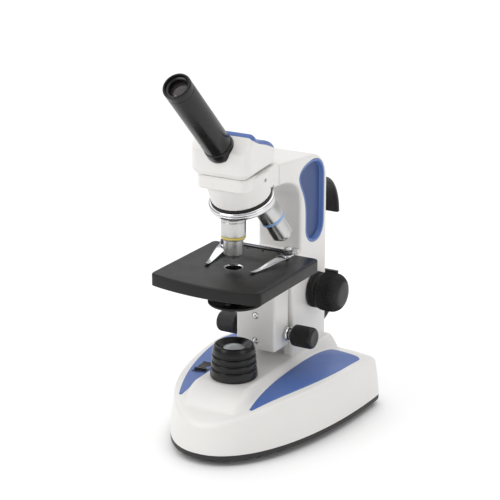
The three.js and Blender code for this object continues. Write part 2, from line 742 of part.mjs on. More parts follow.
function gripPrism(grow, x0, x1) {
  const middle = (x0 + x1) / 2;
  const outline = new THREE.Shape(grownPoints(gripOutline(), grow, 4));
  return sideways(outline, (x1 - x0) / 2).translate([middle, 0, 0]);
}


function armDriveSpace() {
  const tongue = TONGUE_HALF_WIDTH + GAP;
  const groove = block(
    -tongue, tongue, ARM_FRONT - 5, TONGUE_REAR + GAP, BLOCK_LOW - TRAVEL_DOWN - 4,
    BLOCK_TOP + TRAVEL_UP + 3,
  );
  const slot = RACK_HALF_WIDTH + GAP;
  const rackSpace = block(
    -slot, slot, ARM_FRONT - 5, COARSE_Y, RACK_LOW - TRAVEL_DOWN - 3, RACK_TOP + TRAVEL_UP + 3,
  );
  const pinionSpace = alongX(disc(PINION_RADIUS + TOOTH_HEIGHT + 1, -slot, slot))
    .translate([0, COARSE_Y, COARSE_Z]);
  const shaftSpace = alongX(disc(COARSE_BORE, -40, 40, COARSE)).translate([0, COARSE_Y, COARSE_Z]);
  return [groove, rackSpace, pinionSpace, shaftSpace];
}

function buildArm() {
  let arm = sideways(armShape(), ARM_HALF_WIDTH, ARM_BEVEL, 2, 6);
  const deep = ARM_HALF_WIDTH - GRIP_THICK - GAP;
  for (const side of [-1, 1]) {
    const x0 = Math.min(side * deep, side * 40);
    arm = arm.subtract(gripPrism(0, x0, x0 + 40 - deep));
  }
  const stop = disc(STOP_STEM + GAP, ARM_LEDGE_Z - 12, ARM_LEDGE_Z + 5, COARSE).translate([...STOP_AT, 0]);
  const tenon = noseTenon(GAP);
  const hangers = hangerPegs(GAP);
  const screws = [-1, 1].map((side) => collarSpigot(side, GAP));
  arm = cut(arm, ...armDriveSpace(), stop, tenon, ...hangers, ...screws, turretSpace());
  piece("arm", arm, WHITE, 0.42);
  for (const [name, side] of [["arm_grip_left", -1], ["arm_grip_right", 1]]) {
    const inner = ARM_HALF_WIDTH - GRIP_THICK;
    const x0 = Math.min(side * inner, side * ARM_HALF_WIDTH);
    const body = gripPrism(-GAP, x0, x0 + GRIP_THICK);
    const floor = ARM_HALF_WIDTH - GRIP_HOLLOW;
    const h0 = Math.min(side * floor, side * 40);
    const hollow = gripPrism(-GRIP_RIM - GAP, h0, h0 + 40 - floor);
    piece(name, body.subtract(hollow), BLUE, 0.45);
  }
}

// A cord hook: a curved hood that leaves the back of the arm, upper or lower.
function hangerShape() {
  const s = new THREE.Shape();
  s.moveTo(0, 0);
  s.absellipse(0, -HANGER_DROP, HANGER_REACH, HANGER_DROP, Math.PI / 2, 0, true);
  s.lineTo(HANGER_REACH - HANGER_THICK, -HANGER_DROP);
  s.absellipse(
    0, -HANGER_DROP, HANGER_REACH - HANGER_THICK, HANGER_DROP - HANGER_THICK, 0, Math.PI / 2 - 0.1,
    false,
  );
  s.lineTo(HANGER_THICK, -HANGER_DROP + 10);
  s.lineTo(0, -HANGER_DROP + 10);
  s.closePath();
  return s;
}

function hangerPegs(grow) {
  const heights = [HANGER_TOP_Z - 18, HANGER_LOW_Z + 18];
  return heights.map((z) => alongY(disc(3 + grow, -8 - grow, 1, COARSE)).translate([0, ARM_REAR, z]));
}

function buildHangers() {
  const hook = sideways(hangerShape(), HANGER_HALF_WIDTH, 0.8, 1, 8);
  const [upPeg, lowPeg] = hangerPegs(0);
  const upper = hook.translate([0, ARM_REAR + GAP, HANGER_TOP_Z]);
  const lower = hook.mirror([0, 0, 1]).translate([0, ARM_REAR + GAP, HANGER_LOW_Z]);
  piece("cord_hook_upper", join(upper, upPeg), BLACK, 0.5);
  piece("cord_hook_lower", join(lower, lowPeg), BLACK, 0.5);
}

// ---------------------------------------------------------------- nose and turret
// Moves a solid made along +Z from the turret's axis frame: Z is measured down the axis from the apex.
function onTurret(shape) {
  return shape.rotate([180, 0, 0]).rotate([(TURRET_TILT * 180) / Math.PI, 0, 0]).translate([0, 0, APEX_Z]);
}

function noseTenon(grow) {
  return block(-14 - grow, 14 + grow, ARM_SEAM - 10, ARM_SEAM + 12 + grow, 258 - grow, 268 + grow);
}

// The room the bearing ring and the turret need under the nose and in front of the arm.
function turretSpace() {
  return onTurret(disc(RIM_RADIUS + 2 * GAP, CONE_BOTTOM, SEAT + 12));
}

function pivot(grow) {
  return disc(PIVOT_RADIUS + grow, CONE_BOTTOM - PIVOT_LENGTH - grow, CONE_BOTTOM + 5, COARSE);
}

function buildNose() {
  const top = PART_Z - GAP / 2;
  const outline = roundedRectangle(-NOSE_HALF_WIDTH, NOSE_HALF_WIDTH, NOSE_FRONT, ARM_SEAM + 20, NOSE_CORNER);
  let plate = prism(outline, NOSE_LOW_Z - 4, top, 1.2, 1).warp((v) => {
    v[0] *= 1 - NOSE_TAPER * (v[1] - NOSE_FRONT);
  });
  const seam = ARM_SEAM - GAP / 2;
  const rear = block(-ARM_HALF_WIDTH, ARM_HALF_WIDTH, 20, seam, ARM_ARCH_Z + 0.8, top - 0.6);
  const reach = CONE_BOTTOM - CONE_HEIGHT;
  const cone = onTurret(turned([
    0, reach, CONE_RADIUS + CONE_FLARE, reach, CONE_RADIUS + CONE_FLARE, reach + 8, CONE_RADIUS,
    CONE_BOTTOM, 0, CONE_BOTTOM,
  ]));
  plate = plate.subtract(block(-50, 50, seam, 100, 200, 300));
  let nose = join(plate, rear, cone, noseTenon(0)).subtract(block(-60, 60, -80, seam, top, 330));
  const light = disc(LIGHT_RADIUS, 200, 300, COARSE);
  const boss = disc(BOSS_RADIUS + GAP, PART_Z - BOSS_DEPTH - GAP, 300);
  const lock = alongX(disc(LOCK_RADIUS + GAP, 10, 60, COARSE)).translate([0, LOCK_Y, LOCK_Z]);
  nose = cut(nose, light, boss, lock, onTurret(pivot(GAP)), turretSpace());
  piece("nose", nose, WHITE, 0.42);
  const ring = onTurret(turned([
    BEARING_RADIUS - 6, CONE_BOTTOM + GAP, BEARING_RADIUS, CONE_BOTTOM + GAP, BEARING_RADIUS,
    CONE_BOTTOM + GAP + BEARING_THICK, BEARING_RADIUS - 6, CONE_BOTTOM + GAP + BEARING_THICK,
  ]));
  piece("turret_bearing", ring, BLACK, 0.5);
  const screw = alongX(puck(LOCK_RADIUS, BOSS_RADIUS + 2 * GAP, NOSE_HALF_WIDTH - 1.5, 0.4, COARSE));
  const socket = alongX(disc(0.9, NOSE_HALF_WIDTH - 4, NOSE_HALF_WIDTH, 6));
  piece("lock_screw", screw.subtract(socket).translate([0, LOCK_Y, LOCK_Z]), 0x3a3a3c, 0.4, 0.8);
}

// The three places of the objectives, turned about the turret's axis.
const OBJECTIVES = [
  {
    name: "10x", turn: 0, length: LENGTH_10X, barrel: BARREL_10X, neck: NECK_10X, tip: TIP_10X,
    lens: FRONT_LENS[1], band: 0xd8c63a,
  },
  {
    name: "40x", turn: 120, length: LENGTH_40X, barrel: BARREL_40X, neck: NECK_40X, tip: TIP_40X,
    lens: FRONT_LENS[2], band: 0x6fa6e8,
  },
  {
    name: "4x", turn: -120, length: LENGTH_4X, barrel: BARREL_4X, neck: NECK_4X, tip: TIP_4X,
    lens: FRONT_LENS[0], band: 0xc8322e,
  },
];

// Puts a solid made down -Z from an objective's seat into its place on the turret.
function onSeat(shape, turn) {
  const down = SEAT / Math.cos(TURRET_TILT);
  const tilt = (TURRET_TILT * 180) / Math.PI;
  return shape
    .translate([0, 0, -down])
    .rotate([-tilt, 0, 0])
    .rotate([0, 0, turn])
    .rotate([tilt, 0, 0])
    .translate([0, 0, APEX_Z]);
}

function buildTurret() {
  const top = CONE_BOTTOM + BEARING_THICK + 2 * GAP;
  const slope = Math.tan(TURRET_TILT);
  const low = top + RIM_HEIGHT;
  const seatRadius = SEAT * slope;
  const flat = 7;
  let dish = onTurret(
    turned([
      0, top, RIM_RADIUS - 1.6, top, RIM_RADIUS, top + 1.6, RIM_RADIUS, low - 1, RIM_RADIUS - 1, low,
      seatRadius + 12, SEAT - 12 * slope, flat, SEAT + (seatRadius - flat) * slope - 3, 0,
      SEAT + (seatRadius - flat) * slope - 3,
    ]),
  );
  const threads = OBJECTIVES.map((o) => onSeat(disc(THREAD_RADIUS + GAP, -40, 40, COARSE + 8), o.turn));
  dish = cut(dish, ...threads);
  piece("turret", join(dish, onTurret(pivot(0))), CHROME, 0.2, 0.9);
}

function buildObjective({ name, turn, length, barrel, neck, tip, lens, band }) {
  const r = BARREL_RADIUS;
  const g = r - BAND_DEPTH - GAP;
  const bandTop = -barrel;
  const bandLow = -barrel - BAND_WIDTH - 2 * GAP;
  const tipTop = -length + TIP_LENGTH;
  const seat = -length + 1.6;
  const profile = [
    OBJECTIVE_BORE, THREAD_LENGTH, OBJECTIVE_BORE, seat + 2.4, lens + GAP, seat + 2.2, lens + GAP, -length,
    tip - 0.6, -length, tip, -length + 0.8, tip + 0.4, tipTop - 0.4, neck, tipTop, neck, bandLow - 1,
    r - 0.8, bandLow - 0.6, r - 0.8, bandLow, g, bandLow, g, bandTop, r, bandTop, r, -1, r - 0.6, -GAP,
    THREAD_RADIUS, -GAP,
    THREAD_RADIUS, THREAD_LENGTH,
  ];
  piece(`objective_${name}`, onSeat(turned(profile, FINE), turn), SATIN, 0.32, 0.9);
  const ring = turned(
    [g + GAP, bandLow + GAP, r, bandLow + GAP, r, bandTop - GAP, g + GAP, bandTop - GAP], FINE,
  );
  piece(`band_${name}`, onSeat(ring, turn), band, 0.5);
  const glass = puck(lens, -length + 0.3, seat, 0.3, COARSE);
  piece(`front_lens_${name}`, onSeat(glass, turn), CLEAR, 0.05);
}

// ---------------------------------------------------------------- head and eyepiece
// Moves a solid made along +Z from the foot of the eyepiece tube to its tilted place.
function onTube(shape) {
  return shape.rotate([(TUBE_TILT * 180) / Math.PI, 0, 0]).translate([0, TUBE_AT[0], TUBE_AT[1]]);
}

function headProfile(inset, low) {
  const s = new THREE.Shape();
  const slope = TUBE_AT[1] - TUBE_AT[0] - inset * Math.SQRT2;
  const front = HEAD_FRONT + inset;
  s.moveTo(front, low);
  s.lineTo(HEAD_REAR - inset, low);
  s.lineTo(HEAD_REAR - inset, Math.max(284 - inset, low + 2));
  s.quadraticCurveTo(HEAD_REAR - inset, 296 - inset, 16, 303.5 - inset);

  s.lineTo(-13, slope - 13);
  s.lineTo(front, slope + front);
  s.closePath();
  return s;
}

// Narrows a solid towards the back and pinches its foot in.
function tapered(shape) {
  return shape.warp((v) => {
    v[0] *= 1 - HEAD_TAPER * Math.max(0, v[1] - HEAD_FRONT);
    const low = Math.max(0, Math.min(1, (PART_Z + 5 - v[2]) / 5));
    v[0] *= 1 - 0.11 * low;
    if (v[1] < 0) v[1] += 3.2 * low * Math.min(1, -v[1] / 20);
  });
}

function headInlayField(grow) {
  const s = new THREE.Shape();
  const lift = HEAD_INLAY_THICK + grow;
  s.moveTo(HEAD_REAR + 5, 287 - grow);
  s.bezierCurveTo(HEAD_REAR - 4, 293 - lift * 0.6, 28, 299 - lift, 16, 303.5 - lift);
  s.lineTo(-3, 309 - lift);
  s.lineTo(-16 - grow, 315.5 - lift);
  s.lineTo(-16 - grow, 330);
  s.lineTo(HEAD_REAR + 5, 330);
  s.closePath();
  return sideways(s, 60);
}

function buildHead() {
  const low = PART_Z + GAP / 2;
  const body = tapered(sideways(headProfile(0, low), HEAD_HALF_WIDTH, HEAD_BEVEL, 2, 6)
    .intersect(prism(
      roundedRectangle(-HEAD_HALF_WIDTH, HEAD_HALF_WIDTH, HEAD_FRONT, HEAD_REAR, 10), low, 330,
    ))
    .refineToLength(26));
  const boss = disc(BOSS_RADIUS, PART_Z - BOSS_DEPTH, low + 1);
  const collar = onTube(turned([
    0, -6, COLLAR_RADIUS, -6, COLLAR_RADIUS, COLLAR_HEIGHT - 1, COLLAR_RADIUS - 0.8, COLLAR_HEIGHT, 0,
    COLLAR_HEIGHT,
  ]));
  const hollow = tapered(sideways(
    headProfile(HEAD_WALL + HEAD_INLAY_THICK, low + HEAD_WALL), HEAD_HALF_WIDTH - 2 * HEAD_WALL - 3,
  ));
  const light = disc(LIGHT_RADIUS + 2, 200, 290, COARSE);
  const bore = onTube(disc(SLEEVE_RADIUS + GAP, -SLEEVE_DEPTH - GAP, COLLAR_HEIGHT + 1));
  const sight = onTube(disc(LIGHT_RADIUS + 2, -26, 0, COARSE));
  const cap = body.intersect(headInlayField(0)).subtract(onTube(disc(COLLAR_RADIUS + GAP, -9, 90)));
  const housing = cut(
    join(body.subtract(headInlayField(GAP)), boss), hollow, light, sight, bore,
    onTube(disc(COLLAR_RADIUS + GAP, -6 - GAP, 90)),
  );
  piece("head_housing", housing, WHITE, 0.42);
  piece("head_inlay", cap, BLUE, 0.45);
  piece("tube_collar", collar.subtract(onTube(disc(SLEEVE_RADIUS + GAP, -20, 20))), BLACK, 0.4);
  buildPrism();
}

function buildPrism() {
  const s = PRISM_SIZE / 2;
  const middle = PART_Z + HEAD_WALL + 1.5 * GAP + s;
  const shape = polygon([-s, middle - s, s, middle - s, s, middle + s * 0.2, -s * 0.2, middle + s]);
  piece("prism", sideways(shape, PRISM_HALF_WIDTH, 0.6), CLEAR, 0.05);
}

function buildEyepiece() {
  const low = COLLAR_HEIGHT + GAP;
  const end = EYE_LENGTH;
  const lensTop = end - EYE_LENS_DEPTH;
  const lensLow = lensTop - EYE_LENS_THICK;
  const r = EYE_RADIUS;
  const fieldTop = FIELD_LENS_AT + 4;
  const profile = [
    EYE_BORE, -SLEEVE_DEPTH, SLEEVE_RADIUS, -SLEEVE_DEPTH, SLEEVE_RADIUS, low, r - 0.4, low, r, low + 0.5,
    r, end - 1.6, r - EYE_ROUND, end - EYE_ROUND, r - 1.4, end, EYE_MOUTH, end - 0.6, EYE_MOUTH - 0.3,
    end - 3.4,
    EYE_BORE - 0.6, end - 4, EYE_BORE - 1.2, lensTop + GAP, EYE_BORE + 0.7, lensTop + GAP,
    EYE_BORE + 0.7, lensLow - GAP,
    EYE_BORE - 1.2, lensLow - GAP, EYE_BORE - 1.2, fieldTop + GAP, EYE_BORE + 0.5, fieldTop + GAP,
    EYE_BORE + 0.5, FIELD_LENS_AT - GAP,
    EYE_BORE, FIELD_LENS_AT - GAP,
  ];
  piece("eyepiece", onTube(turned(profile)), BLACK, 0.35);
  const e = EYE_BORE + 0.4;
  const lens = [
    0, lensLow, e, lensLow + 1, e, lensTop - 1.2, e * 0.8, lensTop - 0.8, e * 0.5, lensTop - 0.25, 0,
    lensTop,
  ];
  piece("eye_lens", onTube(turned(lens)), CLEAR, 0.05);
  const f = EYE_BORE + 0.2;
  const field = [0, FIELD_LENS_AT, f, FIELD_LENS_AT, f, fieldTop - 1.5, f * 0.6, fieldTop - 0.4, 0, fieldTop];
  piece("field_lens", onTube(turned(field)), CLEAR, 0.05);
}

// ---------------------------------------------------------------- focus drive
function collarSpigot(side, grow) {
  const long = disc(7 + grow, ARM_HALF_WIDTH - 6 - grow, ARM_HALF_WIDTH + 4, COARSE);
  return alongX(long).mirror([side < 0 ? 1 : 0, side < 0 ? 0 : 1, 0]).translate([0, COARSE_Y, COARSE_Z]);
}

function buildCoarse() {
  for (const [name, side] of [["coarse_collar_left", -1], ["coarse_collar_right", 1]]) {
    const rim = puck(COARSE_COLLAR, ARM_HALF_WIDTH + GAP, COARSE_INNER - GAP, 1.5);
    const flange = alongX(rim)
      .mirror([side < 0 ? 1 : 0, side < 0 ? 0 : 1, 0])
      .translate([0, COARSE_Y, COARSE_Z]);
    const bore = alongX(disc(COARSE_BORE, -60, 60, COARSE)).translate([0, COARSE_Y, COARSE_Z]);
    piece(name, join(flange, collarSpigot(side, 0)).subtract(bore), 0x2a2a2c, 0.5);
  }
  const teeth = new THREE.Shape();
  const steps = PINION_TEETH * 4;
  for (let i = 0; i < steps; i++) {
    const high = i % 4 < 2;
    const angle = ((i + (i % 2 ? -0.12 : 0.12) * (high ? 1 : -1)) / steps) * 2 * Math.PI;
    const r = PINION_RADIUS + (high ? TOOTH_HEIGHT / 2 : -TOOTH_HEIGHT / 2);
    if (i === 0) teeth.moveTo(r * Math.cos(angle), r * Math.sin(angle));
    else teeth.lineTo(r * Math.cos(angle), r * Math.sin(angle));
  }
  teeth.closePath();
  const pinion = prism(teeth, -PINION_HALF_WIDTH, PINION_HALF_WIDTH);
  const rod = disc(COARSE_SHAFT, -COARSE_END + 6, COARSE_END - 6, COARSE);
  piece("coarse_shaft", alongX(join(rod, pinion)).translate([0, COARSE_Y, COARSE_Z]), SATIN, 0.4, 0.9);
  for (const [name, side] of [["coarse_knob_left", -1], ["coarse_knob_right", 1]]) {
    const r = COARSE_RADIUS;
    const a = COARSE_INNER;
    const b = COARSE_END;
    const knob = turned([
      0, a, r - 1.5, a, r - 0.3, a + 1.2, r, a + 5, r - 0.4, b - 6, r - 1.8, b - 2, r - 4, b, r - 6, b,
      r - 7, b - 1, 0, b - 1,
    ]);
    const bored = knob.subtract(disc(COARSE_SHAFT + GAP, a - 1, b - 6 + GAP, COARSE));
    const placed = side < 0 ? bored.rotate([0, 0, 180]).mirror([0, 0, 1]) : bored;
    piece(name, alongX(placed).translate([0, COARSE_Y, COARSE_Z]), BLACK, 0.5);
  }
}

function rackShape() {
  const back = COARSE_Y - PINION_RADIUS - TOOTH_HEIGHT / 2 - MESH_GAP;
  const pitch = (2 * Math.PI * PINION_RADIUS) / PINION_TEETH;
  const pairs = [BLOCK_REAR - RACK_INSET, RACK_LOW, back - TOOTH_HEIGHT, RACK_LOW];
  const count = Math.floor((RACK_TOP - RACK_LOW) / pitch);
  const start = COARSE_Z + pitch / 2 - Math.ceil((COARSE_Z - RACK_LOW) / pitch) * pitch + pitch;
  for (let i = 0; i < count - 1; i++) {
    const z = start + i * pitch;
    pairs.push(
      back - TOOTH_HEIGHT, z - pitch * 0.28, back, z - pitch * 0.12, back, z + pitch * 0.12,
      back - TOOTH_HEIGHT, z + pitch * 0.28,
    );
  }
  pairs.push(back - TOOTH_HEIGHT, RACK_TOP, BLOCK_REAR - RACK_INSET, RACK_TOP);
  return polygon(pairs);
}

function blockScrew(grow, z) {
  const head = disc(BLOCK_SCREW_HEAD + grow, -0.4 - 20 * Math.sign(grow), 2.6 + grow, COARSE);
  const shank = disc(1.6 + grow, 0, 8.6 + grow, COARSE);
  return alongY(join(head, shank)).translate([0, BLOCK_FRONT, z]);
}

function buildCarriage() {
  const outline = roundedRectangle(
    -BLOCK_HALF_WIDTH, BLOCK_HALF_WIDTH, BLOCK_FRONT, BLOCK_REAR, BLOCK_BEVEL + 0.6,
  );
  let body = prism(outline, BLOCK_LOW, BLOCK_TOP, BLOCK_BEVEL, 1, 2);
  body = join(
    body,
    block(-TONGUE_HALF_WIDTH, TONGUE_HALF_WIDTH, BLOCK_REAR - 1, TONGUE_REAR, BLOCK_LOW + 4, BLOCK_TOP),
  );
  const stem = block(
    -STEM_HALF_WIDTH - GAP, STEM_HALF_WIDTH + GAP, STEM_FRONT - GAP, STEM_REAR + GAP, FINE_Z - 6,
    BLOCK_TOP + 9,
  );
  const shaft = alongX(disc(FINE_SHAFT + GAP, -40, 40, COARSE)).translate([0, FINE_Y, FINE_Z]);
  const rackSlot = block(
    -RACK_HALF_WIDTH - GAP, RACK_HALF_WIDTH + GAP, BLOCK_REAR - RACK_INSET - GAP, 100, RACK_LOW - GAP,
    RACK_TOP + 5,
  );
  const screws = BLOCK_SCREW_Z.map((z) => blockScrew(GAP, z));
  const camSpace = alongX(disc(FINE_CAM + FINE_THROW + GAP, -CAM_HALF_WIDTH - GAP, CAM_HALF_WIDTH + GAP))
    .translate([0, FINE_Y, FINE_Z]);
  body = cut(body, stem, shaft, camSpace, rackSlot, ...screws);
  piece("focus_block", body, WHITE, 0.42);
  piece("focus_rack", sideways(rackShape(), RACK_HALF_WIDTH), SATIN, 0.4, 0.9);
  BLOCK_SCREW_Z.forEach((z, i) => {
    const hex = alongY(disc(1.5, -1, 1.4, 6)).translate([0, BLOCK_FRONT, z]);
    piece(`block_screw_${i ? "upper" : "lower"}`, blockScrew(0, z).subtract(hex), CHROME, 0.3, 0.9);
  });
}

function buildFine() {
  const rod = disc(FINE_SHAFT, -FINE_END + 6, FINE_END - 6, COARSE);
  const cam = disc(FINE_CAM, -CAM_HALF_WIDTH, CAM_HALF_WIDTH, COARSE + 8).translate([0, FINE_THROW, 0]);
  const washers = [-1, 1].map((side) => {
    const inner = side > 0 ? BLOCK_HALF_WIDTH + GAP : -BLOCK_HALF_WIDTH - GAP - FLANGE_THICK;
    return puck(FLANGE_RADIUS, inner, inner + FLANGE_THICK, 0.8);
  });
  piece("fine_shaft", alongX(join(rod, cam, ...washers)).translate([0, FINE_Y, FINE_Z]), CHROME, 0.3, 0.9);
  for (const [name, side] of [["left", -1], ["right", 1]]) {
    const r = FINE_RADIUS;
    const knob = turned(
      [
        0, FINE_INNER, r - 0.8, FINE_INNER, r, FINE_INNER + 1.5, r, FINE_END - 3, r - 1, FINE_END - 0.8,
        r - 2.8, FINE_END, 0, FINE_END,
      ],
      FINE,
    );
    const bored = knob.subtract(disc(FINE_SHAFT + GAP, FINE_INNER - 1, FINE_END - 6 + GAP, COARSE));
    const flip = (shape) => (side < 0 ? shape.rotate([0, 0, 180]).mirror([0, 0, 1]) : shape);
    piece(`fine_knob_${name}`, alongX(flip(bored)).translate([0, FINE_Y, FINE_Z]), BLACK, 0.45);
  }
}

// ---------------------------------------------------------------- stage
function stageShape(inset) {
  const x = STAGE_HALF_WIDTH - inset;
  const front = STAGE_FRONT + inset;
  const r = Math.max(1, STAGE_CORNER - inset);
  const s = new THREE.Shape();
  s.moveTo(-x, front + r);
  s.quadraticCurveTo(-x, front, -x + r, front - 0.9);
  s.quadraticCurveTo(0, front - 2 * STAGE_BOW + 0.9, x - r, front - 0.9);
  s.quadraticCurveTo(x, front, x, front + r);
  s.lineTo(x, STAGE_REAR - inset - r);
  s.absarc(x - r, STAGE_REAR - inset - r, r, 0, Math.PI / 2, false);
  s.lineTo(-x + r, STAGE_REAR - inset);
  s.absarc(-x + r, STAGE_REAR - inset - r, r, Math.PI / 2, Math.PI, false);
  s.closePath();
  return s;
}

function discPin(grow) {
  const shank = disc(DISC_PIN + grow, DISC_Z + 1, RECESS_FLOOR_Z + 8 + grow, COARSE);
  return shank.translate([DISC_AT[0], DISC_AT[1], 0]);
}

function buildStage() {
  const low = STAGE_Z - STAGE_SKIRT;
  let plate = prism(stageShape(0), low, STAGE_Z, STAGE_BEVEL, 1, 6);
  plate = plate.subtract(prism(stageShape(3.2), low - 5, STAGE_Z - STAGE_THICK, 0, 1, 4));
  const tube = disc(APERTURE + TUBE_WALL, RECESS_FLOOR_Z, STAGE_Z - 1);
  const boss = disc(DISC_BOSS, RECESS_FLOOR_Z, STAGE_Z - 1, COARSE).translate([DISC_AT[0], DISC_AT[1], 0]);
  plate = join(plate, tube, boss);
  for (const side of [-1, 1]) {
    plate = plate.add(disc(4.5, STAGE_Z - 9, STAGE_Z - 1, COARSE).translate([side * POST_X, POST_Y, 0]));
    plate = plate.subtract(
      disc(POST_RADIUS + GAP, STAGE_Z - 7, STAGE_Z + 5, COARSE).translate([side * POST_X, POST_Y, 0]),
    );
  }
  const way = disc(APERTURE - 1.6, 100, STAGE_Z + 5, FINE);
  const mouth = turned(
    [
      0, CONDENSER_Z - GAP, CONDENSER_RADIUS + GAP, CONDENSER_Z - GAP, CONDENSER_RADIUS + GAP,
      STAGE_Z - 1.2, APERTURE + 0.9, STAGE_Z + 0.1, 0, STAGE_Z + 0.1,
    ],
    FINE,
  );
  const holes = [-1, 0, 1].map(
    (i) => disc(STAGE_HOLE, STAGE_Z - 9, STAGE_Z + 5, COARSE)
      .translate([i * STAGE_HOLE_X, STAGE_HOLE_Y, 0]),
  );
  const bracketWay = block(
    -BLOCK_HALF_WIDTH - GAP, BLOCK_HALF_WIDTH + GAP, BRACKET_FRONT, 90, low - 5, STAGE_Z - STAGE_THICK,
  );
  piece("stage", cut(plate, way, mouth, ...holes, discPin(GAP), bracketWay), BLACK, 0.5);
  const c = CONDENSER_RADIUS;
  const top = CONDENSER_Z + CONDENSER_THICK;
  piece(
    "condenser_lens", turned([0, CONDENSER_Z, c, CONDENSER_Z, c, top - 2, c * 0.7, top - 0.8, 0, top]),
    CLEAR, 0.05,
  );
  const t = STAGE_Z - STAGE_THICK - GAP;
  let bracket = block(-BLOCK_HALF_WIDTH, BLOCK_HALF_WIDTH, BRACKET_FRONT, BLOCK_REAR, BRACKET_LOW, t);
  bracket = join(
    bracket,
    block(-STEM_HALF_WIDTH, STEM_HALF_WIDTH, STEM_FRONT, STEM_REAR, FINE_Z + FINE_CAM + GAP, BRACKET_LOW + 1),
  );
  const bore = [-1, 0, 1].map(
    (i) => disc(STAGE_HOLE + 0.6, STAGE_Z - 12, STAGE_Z, COARSE)
      .translate([i * STAGE_HOLE_X, STAGE_HOLE_Y, 0]),
  );
  piece("stage_bracket", cut(bracket, ...bore), WHITE, 0.42);
}

function buildDisc() {
  const [x, y] = DISC_AT;
  const reach = Math.hypot(x, y);
  let plate = puck(DISC_RADIUS, DISC_Z, DISC_Z + DISC_THICK, 0.8, 28);
  const toAxis = Math.atan2(-y, -x);
  DISC_HOLES.forEach((r, i) => {
    const a = toAxis + (i * 2 * Math.PI) / DISC_HOLES.length;
    plate = plate.subtract(
      disc(r, 100, 200, COARSE).translate([reach * Math.cos(a), reach * Math.sin(a), 0]),
    );
  });
  const head = puck(DISC_HEAD, DISC_Z - 1.5, DISC_Z + 1, 0.5, COARSE);
  piece("diaphragm_disc", join(join(plate, head).translate([x, y, 0]), discPin(0)), 0x242426, 0.5);
}

// A leaf of a given width and height at points along its length.
function leaf(points, thick) {
  const rings = points.map(({ x, y, z, w, nx, ny }) => [
    [x - (nx * w) / 2, y - (ny * w) / 2, z],
    [x + (nx * w) / 2, y + (ny * w) / 2, z],
    [x + (nx * w) / 2, y + (ny * w) / 2, z + thick],
    [x - (nx * w) / 2, y - (ny * w) / 2, z + thick],
  ]);
  const middle = (ring) => [0, 1, 2].map((k) => (ring[0][k] + ring[2][k]) / 2);
  return stacked(rings, middle(rings[0]), middle(rings.at(-1)));
}

function clipLeaf() {
  const [tx, ty] = CLIP_TIP;
  const length = Math.hypot(tx - POST_X, ty - POST_Y);
  const ux = (tx - POST_X) / length;
  const uy = (ty - POST_Y) / length;
  const points = [];
  const steps = 9;
  for (let i = 0; i <= steps; i++) {
    const t = i / steps;
    const s = -3 + (length + 3) * t;
    const w = CLIP_END_WIDTH + (CLIP_WIDTH - CLIP_END_WIDTH) * Math.max(
      0, 1 - Math.abs(t - 0.14) ** 1.3 * 1.6,
    );
    const dip = (CLIP_Z - STAGE_Z - 0.6) * Math.min(1, Math.max(0, (t - 0.12) / 0.76));
    const curl = t > 0.9 ? (t - 0.9) * 14 : 0;
    points.push({ x: POST_X + ux * s, y: POST_Y + uy * s, z: CLIP_Z - dip + curl, w, nx: uy, ny: -ux });
  }
  return leaf(points, CLIP_THICK);
}

function buildClips() {
  const bar = alongX(disc(BAR_RADIUS, -POST_X + 3, POST_X - 3, 20)).translate([0, POST_Y, BAR_Z]);
  let tie = bar;
  for (const side of [-1, 1]) {
    const half = BAR_COLLAR_HEIGHT / 2;
    tie = tie.add(
      puck(BAR_COLLAR, BAR_Z - half, BAR_Z + half, 0.4, COARSE).translate([side * POST_X, POST_Y, 0]),
    );
  }
  for (const [name, side] of [["left", -1], ["right", 1]]) {
    const at = [side * POST_X, POST_Y, 0];
    tie = tie.subtract(disc(POST_RADIUS + GAP, 170, 200, COARSE).translate(at));
    const shaft = disc(POST_RADIUS, STAGE_Z - 7 + GAP, POST_TOP - 1, COARSE);
    const cap = puck(POST_CAP, POST_TOP - POST_CAP_HEIGHT, POST_TOP, 0.5, COARSE);
    piece(`clip_post_${name}`, join(shaft, cap).translate(at), CHROME, 0.25, 0.9);
    const low = BAR_Z - BAR_COLLAR_HEIGHT / 2 - GAP;
    const eye = disc(CLIP_WIDTH / 2, CLIP_Z, low, COARSE).translate([POST_X, POST_Y, 0]);
    const whole = join(clipLeaf(), eye).subtract(
      disc(POST_RADIUS + GAP, 170, 200, COARSE).translate([POST_X, POST_Y, 0]),
    );
    piece(`clip_${name}`, side < 0 ? whole.mirror([1, 0, 0]) : whole, CHROME, 0.25, 0.9);
  }
  piece("tie_bar", tie, 0x2c2c30, 0.35, 0.6);
  const stopLow = ARM_LEDGE_Z + GAP + 1;
  const knob = puck(STOP_RADIUS, stopLow, stopLow + STOP_HEIGHT, 0.6);
  const stem = disc(STOP_STEM, ARM_LEDGE_Z - 12 + GAP, stopLow + 1, COARSE);
  piece("stop_screw", join(knob, stem).translate([...STOP_AT, 0]), SATIN, 0.35, 0.9);
}

buildBase();
buildPlateAndFeet();
buildSwitchAndSocket();
buildLamp();
buildArm();
buildHangers();
buildNose();
buildTurret();
OBJECTIVES.forEach(buildObjective);
buildHead();
buildEyepiece();
buildCoarse();
buildCarriage();
buildFine();
buildStage();
buildDisc();
buildClips();

export default group;
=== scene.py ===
"""A monocular student microscope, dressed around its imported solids.

Sizes are in millimetres inside the classes and become metres when a mesh is made. The optical axis is
vertical, the user sits on the -Y side, and every piece rides on the body of the solid that it stands for.
"""

import logging
import math
from dataclasses import dataclass, field
from enum import Enum

